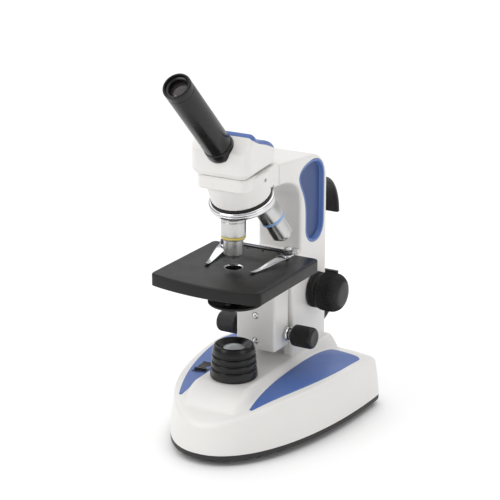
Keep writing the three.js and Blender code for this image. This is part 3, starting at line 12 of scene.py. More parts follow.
import bmesh
import bpy
import numpy as np
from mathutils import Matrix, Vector


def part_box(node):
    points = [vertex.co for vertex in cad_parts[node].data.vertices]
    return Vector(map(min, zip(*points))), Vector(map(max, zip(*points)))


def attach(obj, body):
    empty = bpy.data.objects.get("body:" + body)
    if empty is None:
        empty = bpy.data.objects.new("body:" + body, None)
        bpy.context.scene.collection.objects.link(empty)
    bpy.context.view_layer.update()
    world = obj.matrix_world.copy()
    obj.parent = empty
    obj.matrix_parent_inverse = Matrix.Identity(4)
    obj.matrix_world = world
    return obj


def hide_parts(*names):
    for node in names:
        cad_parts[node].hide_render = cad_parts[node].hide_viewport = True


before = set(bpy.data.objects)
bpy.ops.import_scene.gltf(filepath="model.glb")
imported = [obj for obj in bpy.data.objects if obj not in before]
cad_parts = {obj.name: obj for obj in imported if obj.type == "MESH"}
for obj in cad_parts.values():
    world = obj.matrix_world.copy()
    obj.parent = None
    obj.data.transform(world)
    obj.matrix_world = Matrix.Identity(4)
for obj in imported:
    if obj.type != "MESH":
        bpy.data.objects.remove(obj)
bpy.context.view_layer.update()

LOG = logging.getLogger("microscope")
Array = np.ndarray
MM = 0.001
FULL_TURN = 2 * math.pi


def optical_axis_y() -> float:
    """Returns the Y of the optical axis in millimetres, from the objective that stands on it."""
    low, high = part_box("objective_10x")
    return (low.y + high.y) / 2 / MM


AXIS_Y = optical_axis_y()


# ---------------------------------------------------------------------------------------------
# Curves and surfaces
# ---------------------------------------------------------------------------------------------
def filleted(corners: Array, radius: float, steps: int = 5, closed: bool = False) -> Array:
    """Rounds each corner C of a polyline: P(t) = (1-t)^2 A + 2t(1-t) C + t^2 B.

    A and B are the points where the rounding leaves the two sides of the corner.

    Args:
        corners: Points of the polyline, one row each.
        radius: Length cut off either side, at most 0.45 of the side.
        steps: Points on each rounded corner.
        closed: Whether the last point is joined to the first.

    Returns:
        The points of the rounded polyline.
    """
    before = np.roll(corners, 1, axis=0) - corners
    after = np.roll(corners, -1, axis=0) - corners
    reach_before = np.linalg.norm(before, axis=1, keepdims=True) + 1e-9
    reach_after = np.linalg.norm(after, axis=1, keepdims=True) + 1e-9
    first = corners + before / reach_before * np.minimum(radius, 0.45 * reach_before)
    last = corners + after / reach_after * np.minimum(radius, 0.45 * reach_after)
    t = np.linspace(0, 1, steps)[None, :, None]
    bent = (1 - t) ** 2 * first[:, None] + 2 * t * (1 - t) * corners[:, None] + t**2 * last[:, None]
    if closed:
        return bent.reshape(-1, corners.shape[1])
    middle = bent[1:-1].reshape(-1, corners.shape[1])
    return np.vstack([corners[:1], middle, corners[-1:]])


def bezier(*controls: tuple[float, float], steps: int = 24) -> Array:
    """Evaluates a Bezier curve as the sum of its control points weighted by Bernstein polynomials.

    Args:
        *controls: Control points in order.
        steps: Number of points on the curve.

    Returns:
        The points of the curve.
    """
    points = np.array(controls, float)
    degree = len(points) - 1
    t = np.linspace(0, 1, steps)[:, None]
    weights = [math.comb(degree, k) * t**k * (1 - t) ** (degree - k) for k in range(degree + 1)]
    return sum(weight * point for weight, point in zip(weights, points))


def inset_ring(outline: Array, inset: float) -> Array:
    """Pulls a closed counter-clockwise outline in: each point moves by the inset against its outward normal.

    Args:
        outline: Points of the outline, one row each.
        inset: Distance inwards, or outwards when it is negative.

    Returns:
        The moved points.
    """
    along = np.roll(outline, -1, axis=0) - np.roll(outline, 1, axis=0)
    along /= np.linalg.norm(along, axis=1, keepdims=True) + 1e-9
    outward = np.stack([along[:, 1], -along[:, 0]], axis=1)
    return outline - outward * inset


def rounded_rectangle(x0: float, x1: float, y0: float, y1: float, radius: float, steps: int = 9) -> Array:
    """Returns a rectangle between two corners whose own corners are rounded, counter-clockwise."""
    corners = np.array([[x0, y0], [x1, y0], [x1, y1], [x0, y1]], float)
    angle = np.linspace(-math.pi / 2, 0, steps)
    quarter = angle[None, :] + np.arange(4)[:, None] * math.pi / 2 - math.pi / 2
    centre = corners + np.array([[1, 1], [-1, 1], [-1, -1], [1, -1]]) * radius
    ring = centre[:, None] + radius * np.stack([np.cos(quarter), np.sin(quarter)], axis=2)
    return ring.reshape(-1, 2)


def quarter_round(low: float, high: float, radius: float, steps: int = 5) -> Array:
    """Gives pairs of inset and height up a wall whose two edges are rounded by quarter circles.

    Args:
        low: Height of the lower face.
        high: Height of the upper face.
        radius: Radius of both edges.
        steps: Points on each quarter circle.

    Returns:
        Rows of inset and height.
    """
    angle = np.linspace(0, math.pi / 2, steps)
    foot = np.stack([radius * (1 - np.sin(angle)), low + radius * (1 - np.cos(angle))], axis=1)
    crown = np.stack([radius * (1 - np.cos(angle)), high - radius * (1 - np.sin(angle))], axis=1)
    return np.vstack([foot, crown])


class Plane(Enum):
    """The way an outline and its height are laid out in space."""

    PLAN = "outline in X and Y, raised along Z"
    SIDE = "outline in Y and Z, widened along X"


@dataclass(frozen=True)
class Axis:
    """A line that turned pieces share, by a point on it and its direction."""

    foot: tuple[float, float, float]
    direction: tuple[float, float, float]

    def directions(self) -> tuple[Array, Array, Array]:
        """Returns two unit vectors across the line and the one along it."""
        along = np.array(self.direction, float)
        along /= np.linalg.norm(along)
        helper = np.array([1.0, 0, 0]) if abs(along[0]) < 0.9 else np.array([0, 1.0, 0])
        across = helper - along * helper.dot(along)
        across /= np.linalg.norm(across)
        return across, np.cross(along, across), along

    def place(self, a: Array, b: Array, height: Array) -> Array:
        """Returns the points at distances a and b across the line and a height along it."""
        u, v, w = self.directions()
        return np.array(self.foot) + a[..., None] * u + b[..., None] * v + height[..., None] * w


def grid_faces(rows: int, columns: int, close_rows: bool, close_columns: bool) -> Array:
    """Lists the quads of a grid of points, as index (r, c), (r, c+1), (r+1, c+1), (r+1, c).

    Args:
        rows: Number of rows.
        columns: Number of columns.
        close_rows: Whether the last row is joined to the first.
        close_columns: Whether the last column is joined to the first.

    Returns:
        One row of four vertex numbers for each quad.
    """
    r = np.arange(rows if close_rows else rows - 1)[:, None]
    c = np.arange(columns if close_columns else columns - 1)[None, :]
    r1 = (r + 1) % rows
    c1 = (c + 1) % columns
    quads = np.stack([r * columns + c, r * columns + c1, r1 * columns + c1, r1 * columns + c], axis=-1)
    return quads.reshape(-1, 4)


def finish_mesh(mesh: bpy.types.Mesh, merge: float = 2e-6, crease: float = 32.0) -> None:
    """Merges doubled points, turns the faces outwards and shades the mesh smooth between its sharp edges.

    Args:
        mesh: The mesh to finish.
        merge: Distance in metres under which points are one.
        crease: Angle in degrees past which an edge stays sharp.
    """
    work = bmesh.new()
    work.from_mesh(mesh)
    bmesh.ops.remove_doubles(work, verts=work.verts, dist=merge)
    bmesh.ops.dissolve_degenerate(work, edges=work.edges, dist=1e-7)
    if work.calc_volume(signed=True) < 0:
        bmesh.ops.reverse_faces(work, faces=work.faces)
    work.to_mesh(mesh)
    work.free()
    mesh.shade_smooth()
    mesh.set_sharp_from_angle(angle=math.radians(crease))
    mesh.update()


def mesh_object(name: str, points: Array, faces: list) -> bpy.types.Object:
    """Makes an object at the origin from points in millimetres round the optical axis.

    Args:
        name: Name of the object.
        points: Rows of X, Y and Z in millimetres, Y counted from the optical axis.
        faces: Vertex numbers of each face.

    Returns:
        The new object, linked to the scene.
    """
    placed = (points.reshape(-1, 3) + np.array([0, AXIS_Y, 0])) * MM
    mesh = bpy.data.meshes.new(name)
    mesh.from_pydata(placed.tolist(), [], faces)
    finish_mesh(mesh)
    made = bpy.data.objects.new(name, mesh)
    bpy.context.scene.collection.objects.link(made)
    return made


def revolve(
    name: str, profile: Array, axis: Axis, sides: int = 96, ripple: Array | None = None, waves: int = 0,
    power: float = 1.0,
) -> bpy.types.Object:
    """Turns a profile round an axis; radius(i, j) = r(i) - depth(i) * |sin(waves * angle(j) / 2)| ^ power.

    Args:
        name: Name of the object.
        profile: Rows of radius and height. It ends on the axis, or else closes on itself.
        axis: The line to turn it round.
        sides: Points round the axis.
        ripple: Depth of the ribs at each row of the profile.
        waves: Number of ribs round the axis.
        power: Below 1 for flat-bottomed ribs, above 1 for sharp ones.

    Returns:
        The turned object.
    """
    angle = np.linspace(0, FULL_TURN, sides, endpoint=False)
    radius = np.repeat(profile[:, :1], sides, axis=1)
    if ripple is not None:
        radius = radius - ripple[:, None] * np.abs(np.sin(waves * angle / 2))[None, :] ** power
    height = np.repeat(profile[:, 1:2], sides, axis=1)
    points = axis.place(radius * np.cos(angle), radius * np.sin(angle), height)
    closed = bool(profile[0, 0] > 0 and profile[-1, 0] > 0)
    return mesh_object(name, points, grid_faces(len(profile), sides, closed, True).tolist())


def turned(
    name: str, corners: list[tuple[float, float]], axis: Axis, fillet: float = 0.5, sides: int = 96
) -> bpy.types.Object:
    """Turns a plain round piece whose corners are all eased by one fillet.

    Args:
        name: Name of the object.
        corners: Pairs of radius and height. They end on the axis, or else close on themselves.
        axis: The line to turn it round.
        fillet: Length eased off at each corner.
        sides: Points round the axis.

    Returns:
        The turned object.
    """
    points = np.array(corners, float)
    closed = bool(points[0, 0] > 0 and points[-1, 0] > 0)
    return revolve(name, filleted(points, fillet, 4, closed), axis, sides)


def stepped(name: str, outline: Array, steps: Array, plane: Plane) -> bpy.types.Object:
    """Stacks an outline's rings, each pulled in by its own inset at its own height, between two flat ends.

    Args:
        name: Name of the object.
        outline: Counter-clockwise points of the outline.
        steps: Rows of inset and height, from one end to the other.
        plane: How outline and height are laid out.

    Returns:
        The closed object.
    """
    rings = np.stack([inset_ring(outline, inset) for inset, _ in steps])
    heights = np.repeat(steps[:, 1:2], len(outline), axis=1)
    if plane is Plane.PLAN:
        points = np.dstack([rings[..., 0], rings[..., 1], heights])
    else:
        points = np.dstack([heights, rings[..., 0], rings[..., 1]])
    count = len(outline)
    faces = grid_faces(len(steps), count, False, True).tolist()
    faces.append(list(range(count))[::-1])
    faces.append(list(range((len(steps) - 1) * count, len(steps) * count)))
    return mesh_object(name, points, faces)


def applied(target: bpy.types.Object) -> bpy.types.Object:
    """Replaces an object's mesh by the result of its modifiers.

    Args:
        target: The object to work on.

    Returns:
        The same object, with no modifier left.
    """
    graph = bpy.context.evaluated_depsgraph_get()
    result = bpy.data.meshes.new_from_object(target.evaluated_get(graph))
    target.modifiers.clear()
    target.data = result
    return target


def carved(
    target: bpy.types.Object, cutters: list[bpy.types.Object], operation: str = "DIFFERENCE"
) -> bpy.types.Object:
    """Cuts other closed objects out of one, or joins them to it, and takes them away afterwards.

    Args:
        target: The object that stays.
        cutters: The objects used up.
        operation: DIFFERENCE, UNION or INTERSECT.

    Returns:
        The target with its new mesh.
    """
    for cutter in cutters:
        tool = target.modifiers.new("cut", "BOOLEAN")
        tool.object = cutter
        tool.operation = operation
        tool.solver = "EXACT"
    applied(target)
    for cutter in cutters:
        bpy.data.objects.remove(cutter)
    finish_mesh(target.data)
    return target


def cast(target: bpy.types.Object, voxel: float, smoothing: int) -> bpy.types.Object:
    """Gives a solid the soft edges of a casting: rebuilt on an even grid, then relaxed.

    Args:
        target: The closed object.
        voxel: Size of the grid in millimetres.
        smoothing: Rounds of relaxing; each one moves a point half way to the mean of its neighbours.

    Returns:
        The same object with its new mesh.
    """
    remesh = target.modifiers.new("grid", "REMESH")
    remesh.mode = "VOXEL"
    remesh.voxel_size = voxel * MM
    relax = target.modifiers.new("relax", "SMOOTH")
    relax.factor = 0.5
    relax.iterations = smoothing
    applied(target)
    finish_mesh(target.data, crease=60.0)
    return target


# ---------------------------------------------------------------------------------------------
# Finishes
# ---------------------------------------------------------------------------------------------
Colour = tuple[float, float, float]


class Shader:
    """A material's node tree with one principled surface, and short ways to add detail to it."""

    def __init__(self, name: str) -> None:
        """Starts an empty material of that name."""
        self.material = bpy.data.materials.new(name)
        self.material.use_nodes = True
        self.nodes = self.material.node_tree.nodes
        self.links = self.material.node_tree.links
        self.surface = self.nodes["Principled BSDF"]
        self.coords = self.nodes.new("ShaderNodeTexCoord").outputs["Object"]

    def set(self, **values: object) -> None:
        """Sets sockets of the surface by name, with underscores for spaces."""
        for key, value in values.items():
            self.surface.inputs[key.replace("_", " ")].default_value = value

    def noise(
        self, per_metre: float, detail: float = 3.0, stretch: Colour = (1.0, 1.0, 1.0)
    ) -> bpy.types.NodeSocket:
        """Adds a noise over the object.

        Args:
            per_metre: Number of blotches in a metre.
            detail: Octaves of finer noise.
            stretch: Scale of the coordinates along X, Y and Z.

        Returns:
            The noise's factor, about 0.5 on average.
        """
        mapping = self.nodes.new("ShaderNodeMapping")
        mapping.inputs["Scale"].default_value = stretch
        self.links.new(self.coords, mapping.inputs["Vector"])
        noise = self.nodes.new("ShaderNodeTexNoise")
        noise.inputs["Scale"].default_value = per_metre
        noise.inputs["Detail"].default_value = detail
        self.links.new(mapping.outputs["Vector"], noise.inputs["Vector"])
        return noise.outputs["Fac"]

    def rings(self, direction: tuple[float, float, float], per_metre: float) -> bpy.types.NodeSocket:
        """Adds fine lathe rings: a noise of the height along a direction only.

        Args:
            direction: Direction of the turning axis.
            per_metre: Number of rings in a metre.

        Returns:
            The noise's factor.
        """
        height = self.nodes.new("ShaderNodeVectorMath")
        height.operation = "DOT_PRODUCT"
        height.inputs[1].default_value = direction
        self.links.new(self.coords, height.inputs[0])
        noise = self.nodes.new("ShaderNodeTexNoise")
        noise.noise_dimensions = "1D"
        noise.inputs["Scale"].default_value = per_metre
        noise.inputs["Detail"].default_value = 4.0
        self.links.new(height.outputs["Value"], noise.inputs["W"])
        return noise.outputs["Fac"]

    def spread(
        self, factor: bpy.types.NodeSocket, low: float, high: float, sharp: float = 0.25
    ) -> bpy.types.NodeSocket:
        """Maps the middle of a noise, 0.5 - sharp to 0.5 + sharp, onto a range of values.

        Args:
            factor: The noise.
            low: Value at the lower end.
            high: Value at the upper end.
            sharp: Half of the noise's own range that is used.

        Returns:
            The mapped value.
        """
        span = self.nodes.new("ShaderNodeMapRange")
        span.inputs["From Min"].default_value = 0.5 - sharp
        span.inputs["From Max"].default_value = 0.5 + sharp
        span.inputs["To Min"].default_value = low
        span.inputs["To Max"].default_value = high
        self.links.new(factor, span.inputs["Value"])
        return span.outputs["Result"]

    def tint(self, factor: bpy.types.NodeSocket, first: Colour, second: Colour) -> None:
        """Colours the surface between two colours by a factor from 0 to 1."""
        mix = self.nodes.new("ShaderNodeMix")
        mix.data_type = "RGBA"
        colours = [socket for socket in mix.inputs if socket.type == "RGBA"]
        colours[0].default_value = (*first, 1.0)
        colours[1].default_value = (*second, 1.0)
        self.links.new(factor, mix.inputs["Factor"])
        result = next(socket for socket in mix.outputs if socket.type == "RGBA")
        self.links.new(result, self.surface.inputs["Base Color"])

    def rough(self, factor: bpy.types.NodeSocket, low: float, high: float) -> None:
        """Lets the roughness wander between two values by a noise."""
        self.links.new(self.spread(factor, low, high), self.surface.inputs["Roughness"])

    def bump(self, height: bpy.types.NodeSocket, depth_mm: float, strength: float = 1.0) -> None:
        """Raises the surface by a height, in steps that add to any earlier bump.

        Args:
            height: Factor from 0 to 1.
            depth_mm: Depth of a full step in millimetres.
            strength: Share of it that shows.
        """
        bump = self.nodes.new("ShaderNodeBump")
        bump.inputs["Strength"].default_value = strength
        bump.inputs["Distance"].default_value = depth_mm * MM
        self.links.new(height, bump.inputs["Height"])
        normal = self.surface.inputs["Normal"]
        if normal.is_linked:
            self.links.new(normal.links[0].from_socket, bump.inputs["Normal"])
        self.links.new(bump.outputs["Normal"], normal)


@dataclass(frozen=True)
class Finish:
    """What all finishes share: a name and the slot that it belongs to."""

    name: str
    slot: str

    def build(self) -> bpy.types.Material:
        """Returns the finish's material, made once."""
        found = bpy.data.materials.get(self.name)
        if found:
            return found
        shader = Shader(self.name)
        self.dress(shader)
        return shader.material

    def dress(self, shader: Shader) -> None:
        """Adds the finish's detail to a new shader."""
        raise NotImplementedError


@dataclass(frozen=True)
class Coating(Finish):
    """Paint or moulded plastic: two close shades, a wandering gloss and a fine skin."""

    light: Colour
    dark: Colour
    gloss: tuple[float, float] = (0.32, 0.42)
    skin_per_metre: float = 900.0
    skin_depth: float = 0.05
    coat: float = 0.0
    shine: float = 0.5

    def dress(self, shader: Shader) -> None:
        """Mixes the shades over broad patches and raises the skin."""
        shader.set(Coat_Weight=self.coat, Coat_Roughness=0.12, Specular_IOR_Level=self.shine)
        broad = shader.noise(16.0, 4.0)
        shader.tint(shader.spread(broad, 0.0, 1.0), self.dark, self.light)
        shader.rough(shader.noise(60.0, 5.0), *self.gloss)
        shader.bump(shader.noise(self.skin_per_metre, 2.0), self.skin_depth)


@dataclass(frozen=True)
class TurnedMetal(Finish):
    """Metal from a lathe: fine rings along its axis and a soft, smudged gloss."""

    direction: tuple[float, float, float]
    light: Colour = (0.66, 0.66, 0.65)
    dark: Colour = (0.52, 0.52, 0.52)
    gloss: tuple[float, float] = (0.24, 0.36)
    ring_depth: float = 0.02

    def dress(self, shader: Shader) -> None:
        """Cuts the rings into the shade, the gloss and the height."""
        shader.set(Metallic=1.0)
        rings = shader.rings(self.direction, 2600.0)
        shader.tint(shader.spread(rings, 0.0, 1.0), self.dark, self.light)
        shader.rough(shader.noise(90.0, 4.0), *self.gloss)
        shader.bump(rings, self.ring_depth)


@dataclass(frozen=True)
class BrightMetal(Finish):
    """Plated or blackened metal with faint scratches and finger smudges."""

    light: Colour = (0.80, 0.81, 0.83)
    dark: Colour = (0.68, 0.69, 0.71)
    gloss: tuple[float, float] = (0.08, 0.2)

    def dress(self, shader: Shader) -> None:
        """Smudges the gloss and drags short scratches across it."""
        shader.set(Metallic=1.0)
        shader.tint(shader.spread(shader.noise(45.0, 4.0), 0.0, 1.0), self.dark, self.light)
        shader.rough(shader.noise(120.0, 6.0), *self.gloss)
        shader.bump(shader.noise(700.0, 3.0, (1.0, 0.12, 0.35)), 0.012)


@dataclass(frozen=True)
class Rubber(Finish):
    """Matt rubber with a dusty, pitted skin."""

    def dress(self, shader: Shader) -> None:
        """Dusts the black and pits it."""
        dust = shader.noise(140.0, 6.0)
        shader.tint(shader.spread(dust, 0.0, 1.0), (0.012, 0.012, 0.012), (0.035, 0.034, 0.033))
        shader.rough(dust, 0.72, 0.9)
        shader.bump(shader.noise(1600.0, 3.0), 0.06)


@dataclass(frozen=True)
class ClearGlass(Finish):
    """Coated optical glass, slightly smeared."""

    tint_light: Colour = (0.86, 0.92, 0.95)
    tint_dark: Colour = (0.78, 0.86, 0.9)
    passes: float = 0.92
    gloss: tuple[float, float] = (0.02, 0.06)

    def dress(self, shader: Shader) -> None:
        """Lets most light through and smears the rest."""
        shader.set(Transmission_Weight=self.passes, IOR=1.5)
        shader.tint(shader.spread(shader.noise(30.0, 2.0), 0.0, 1.0), self.tint_dark, self.tint_light)
        shader.rough(shader.noise(70.0, 4.0), *self.gloss)


@dataclass(frozen=True)
class CircuitBoard(Finish):
    """Green lacquer over copper tracks."""

    def dress(self, shader: Shader) -> None:
        """Draws the tracks as stretched blotches under the lacquer."""
        tracks = shader.noise(260.0, 0.0, (1.0, 0.15, 1.0))
        shader.tint(shader.spread(tracks, 0.0, 1.0, 0.03), (0.02, 0.11, 0.04), (0.05, 0.22, 0.09))
        shader.rough(tracks, 0.25, 0.4)
        shader.bump(tracks, 0.05)


TILT = math.radians(18.65)
SLANT = math.radians(45.0)
UPRIGHT = (0.0, 0.0, 1.0)
SIDEWAYS = (1.0, 0.0, 0.0)
NOSE_WAY = (0.0, math.sin(TILT), -math.cos(TILT))
TUBE_WAY = (0.0, -math.sin(SLANT), math.cos(SLANT))

WHITE_PAINT = Coating(
    "white_satin_paint", "body_paint", (0.8, 0.785, 0.765), (0.765, 0.75, 0.73), (0.3, 0.4), 800.0, 0.035,
    0.1
)
BLUE_PANEL = Coating(
    "blue_panel_plastic", "blue_trim", (0.075, 0.15, 0.42), (0.06, 0.125, 0.37), (0.3, 0.4), 1500.0, 0.04
)
# Darker copy of the panel blue for the grip's sunk floor: painted shade of the recess.
BLUE_FLOOR_PAINTED_SHADE = Coating(
    "blue_floor_painted_shade", "blue_trim", (0.035, 0.075, 0.22), (0.028, 0.06, 0.19), (0.42, 0.52), 1500.0, 0.05
)
# Lighter copy of the panel blue for the grip's rim: painted highlight where the lit side catches light.
BLUE_RIM_PAINTED_LIGHT = Coating(
    "blue_rim_painted_highlight", "blue_trim", (0.09, 0.18, 0.46), (0.08, 0.16, 0.42), (0.3, 0.4), 1500.0, 0.03
)
STAGE_BLACK = Coating(
    "stage_powder_black", "black_paint", (0.008, 0.0075, 0.007), (0.005, 0.005, 0.005), (0.3, 0.4), 2300.0,
    0.07, 0.0, 0.3
)
SATIN_BLACK = Coating(
    "satin_black_enamel", "black_paint", (0.006, 0.006, 0.006), (0.004, 0.004, 0.004), (0.2, 0.3), 1200.0,
    0.02, 0.0, 0.35
)
KNOB_BLACK = Coating(
    "moulded_black", "black_plastic", (0.008, 0.008, 0.008), (0.005, 0.005, 0.005), (0.32, 0.44), 1700.0,
    0.04, 0.0, 0.35
)
PLATE_BLACK = Coating(
    "plate_black", "black_paint", (0.02, 0.02, 0.02), (0.014, 0.014, 0.014), (0.45, 0.58), 1300.0, 0.06
)
FOOT_RUBBER = Rubber("foot_rubber_black", "foot_rubber")
NOSE_METAL = TurnedMetal(
    "turned_nosepiece", "bright_metal", NOSE_WAY, (0.78, 0.78, 0.79), (0.66, 0.66, 0.67), (0.12, 0.22),
    0.012
)
CHROME = BrightMetal("polished_chrome", "bright_metal")
GUNMETAL = BrightMetal("blackened_steel", "dark_metal", (0.13, 0.13, 0.14), (0.08, 0.08, 0.09), (0.22, 0.34))
GLASS = ClearGlass("clear_optical_glass", "clear_glass")
COATED_GLASS = ClearGlass("coated_eye_glass", "clear_glass", (0.05, 0.04, 0.045), (0.03, 0.024, 0.026), 0.2)
FROSTED_GLASS = ClearGlass(
    "frosted_lamp_glass", "clear_glass", (0.62, 0.65, 0.66), (0.52, 0.55, 0.57), 0.25, (0.16, 0.3)
)
BOARD = CircuitBoard("green_board", "circuit_board")
SIDE_METAL = TurnedMetal("turned_shaft", "satin_metal", SIDEWAYS)
UPRIGHT_METAL = TurnedMetal("turned_upright", "satin_metal", UPRIGHT, gloss=(0.18, 0.3))
BAND_YELLOW = Coating(
    "yellow_ring_paint", "yellow_band", (0.7, 0.56, 0.12), (0.6, 0.47, 0.09), (0.3, 0.4), 1500.0, 0.02
)
BAND_BLUE = Coating(
    "blue_ring_paint", "blue_band", (0.25, 0.46, 0.8), (0.2, 0.4, 0.72), (0.3, 0.4), 1500.0, 0.02
)
BAND_RED = Coating(
    "red_ring_paint", "red_band", (0.62, 0.05, 0.04), (0.5, 0.035, 0.03), (0.3, 0.4), 1500.0, 0.02
)


class Assembly:
    """What every sub-assembly shares: the list of its pieces and the way that each one joins the object."""

    title = "assembly"

    def __post_init__(self) -> None:
        """Starts the list of pieces."""
        self.made: list[str] = []

    def own(self, piece: bpy.types.Object, body: str, finish: Finish, *nodes: str) -> bpy.types.Object:
        """Dresses a new piece and lets it ride.

        Args:
            piece: The new object.
            body: Name of the body that it rides on.
            finish: Its finish.
            *nodes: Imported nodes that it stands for.

        Returns:
            The same piece.
        """
        piece.data.materials.clear()
        piece.data.materials.append(finish.build())
        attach(piece, body)
        if nodes:
            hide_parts(*nodes)
        self.made.append(piece.name)
        LOG.info("%s: %s rides on %s, %d faces", self.title, piece.name, body, len(piece.data.polygons))
        return piece

    def keep(self, finish: Finish, *nodes: str) -> None:
        """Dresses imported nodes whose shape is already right."""
        for node in nodes:
            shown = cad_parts[node]
            shown.data.materials.clear()
            shown.data.materials.append(finish.build())
            self.made.append(node)
            LOG.info("%s: %s keeps its packed shape", self.title, node)


def lofted(name: str, rings: Array) -> bpy.types.Object:
    """Skins a row of closed rings of equal length and closes both ends with flat faces.

    Args:
        name: Name of the object.
        rings: Points as rings by points by X, Y and Z.

    Returns:
        The closed object.
    """
    rows, count = rings.shape[:2]
    faces = grid_faces(rows, count, False, True).tolist()
    faces.append(list(range(count))[::-1])
    faces.append(list(range((rows - 1) * count, rows * count)))
    return mesh_object(name, rings, faces)


def box_cutter(x0: float, x1: float, y0: float, y1: float, z0: float, z1: float) -> bpy.types.Object:
    """Returns a plain block between two corners, to cut with."""
    outline = np.array([[x0, y0], [x1, y0], [x1, y1], [x0, y1]], float)
    return stepped("cutter", outline, np.array([[0.0, z0], [0.0, z1]]), Plane.PLAN)


def round_cutter(axis: Axis, radius: float, low: float, high: float, sides: int = 64) -> bpy.types.Object:
    """Returns a plain rod along an axis, to cut with."""
    corners = np.array([[0, low], [radius, low], [radius, high], [0, high]], float)
    return revolve("cutter", corners, axis, sides)


def evenly(path: Array, count: int) -> Array:
    """Spaces points evenly along a path by interpolating its length."""
    length = np.concatenate([[0], np.cumsum(np.linalg.norm(np.diff(path, axis=0), axis=1))])
    wanted = np.linspace(0, length[-1], count)
    return np.stack([np.interp(wanted, length, path[:, k]) for k in range(path.shape[1])], axis=1)


def soft_highest(a: Array, b: Array, blend: float) -> Array:
    """Returns the higher of two heights with a rounded valley: (a + b + sqrt((a - b)^2 + blend^2)) / 2."""
    return (a + b + np.sqrt((a - b) ** 2 + blend**2)) / 2


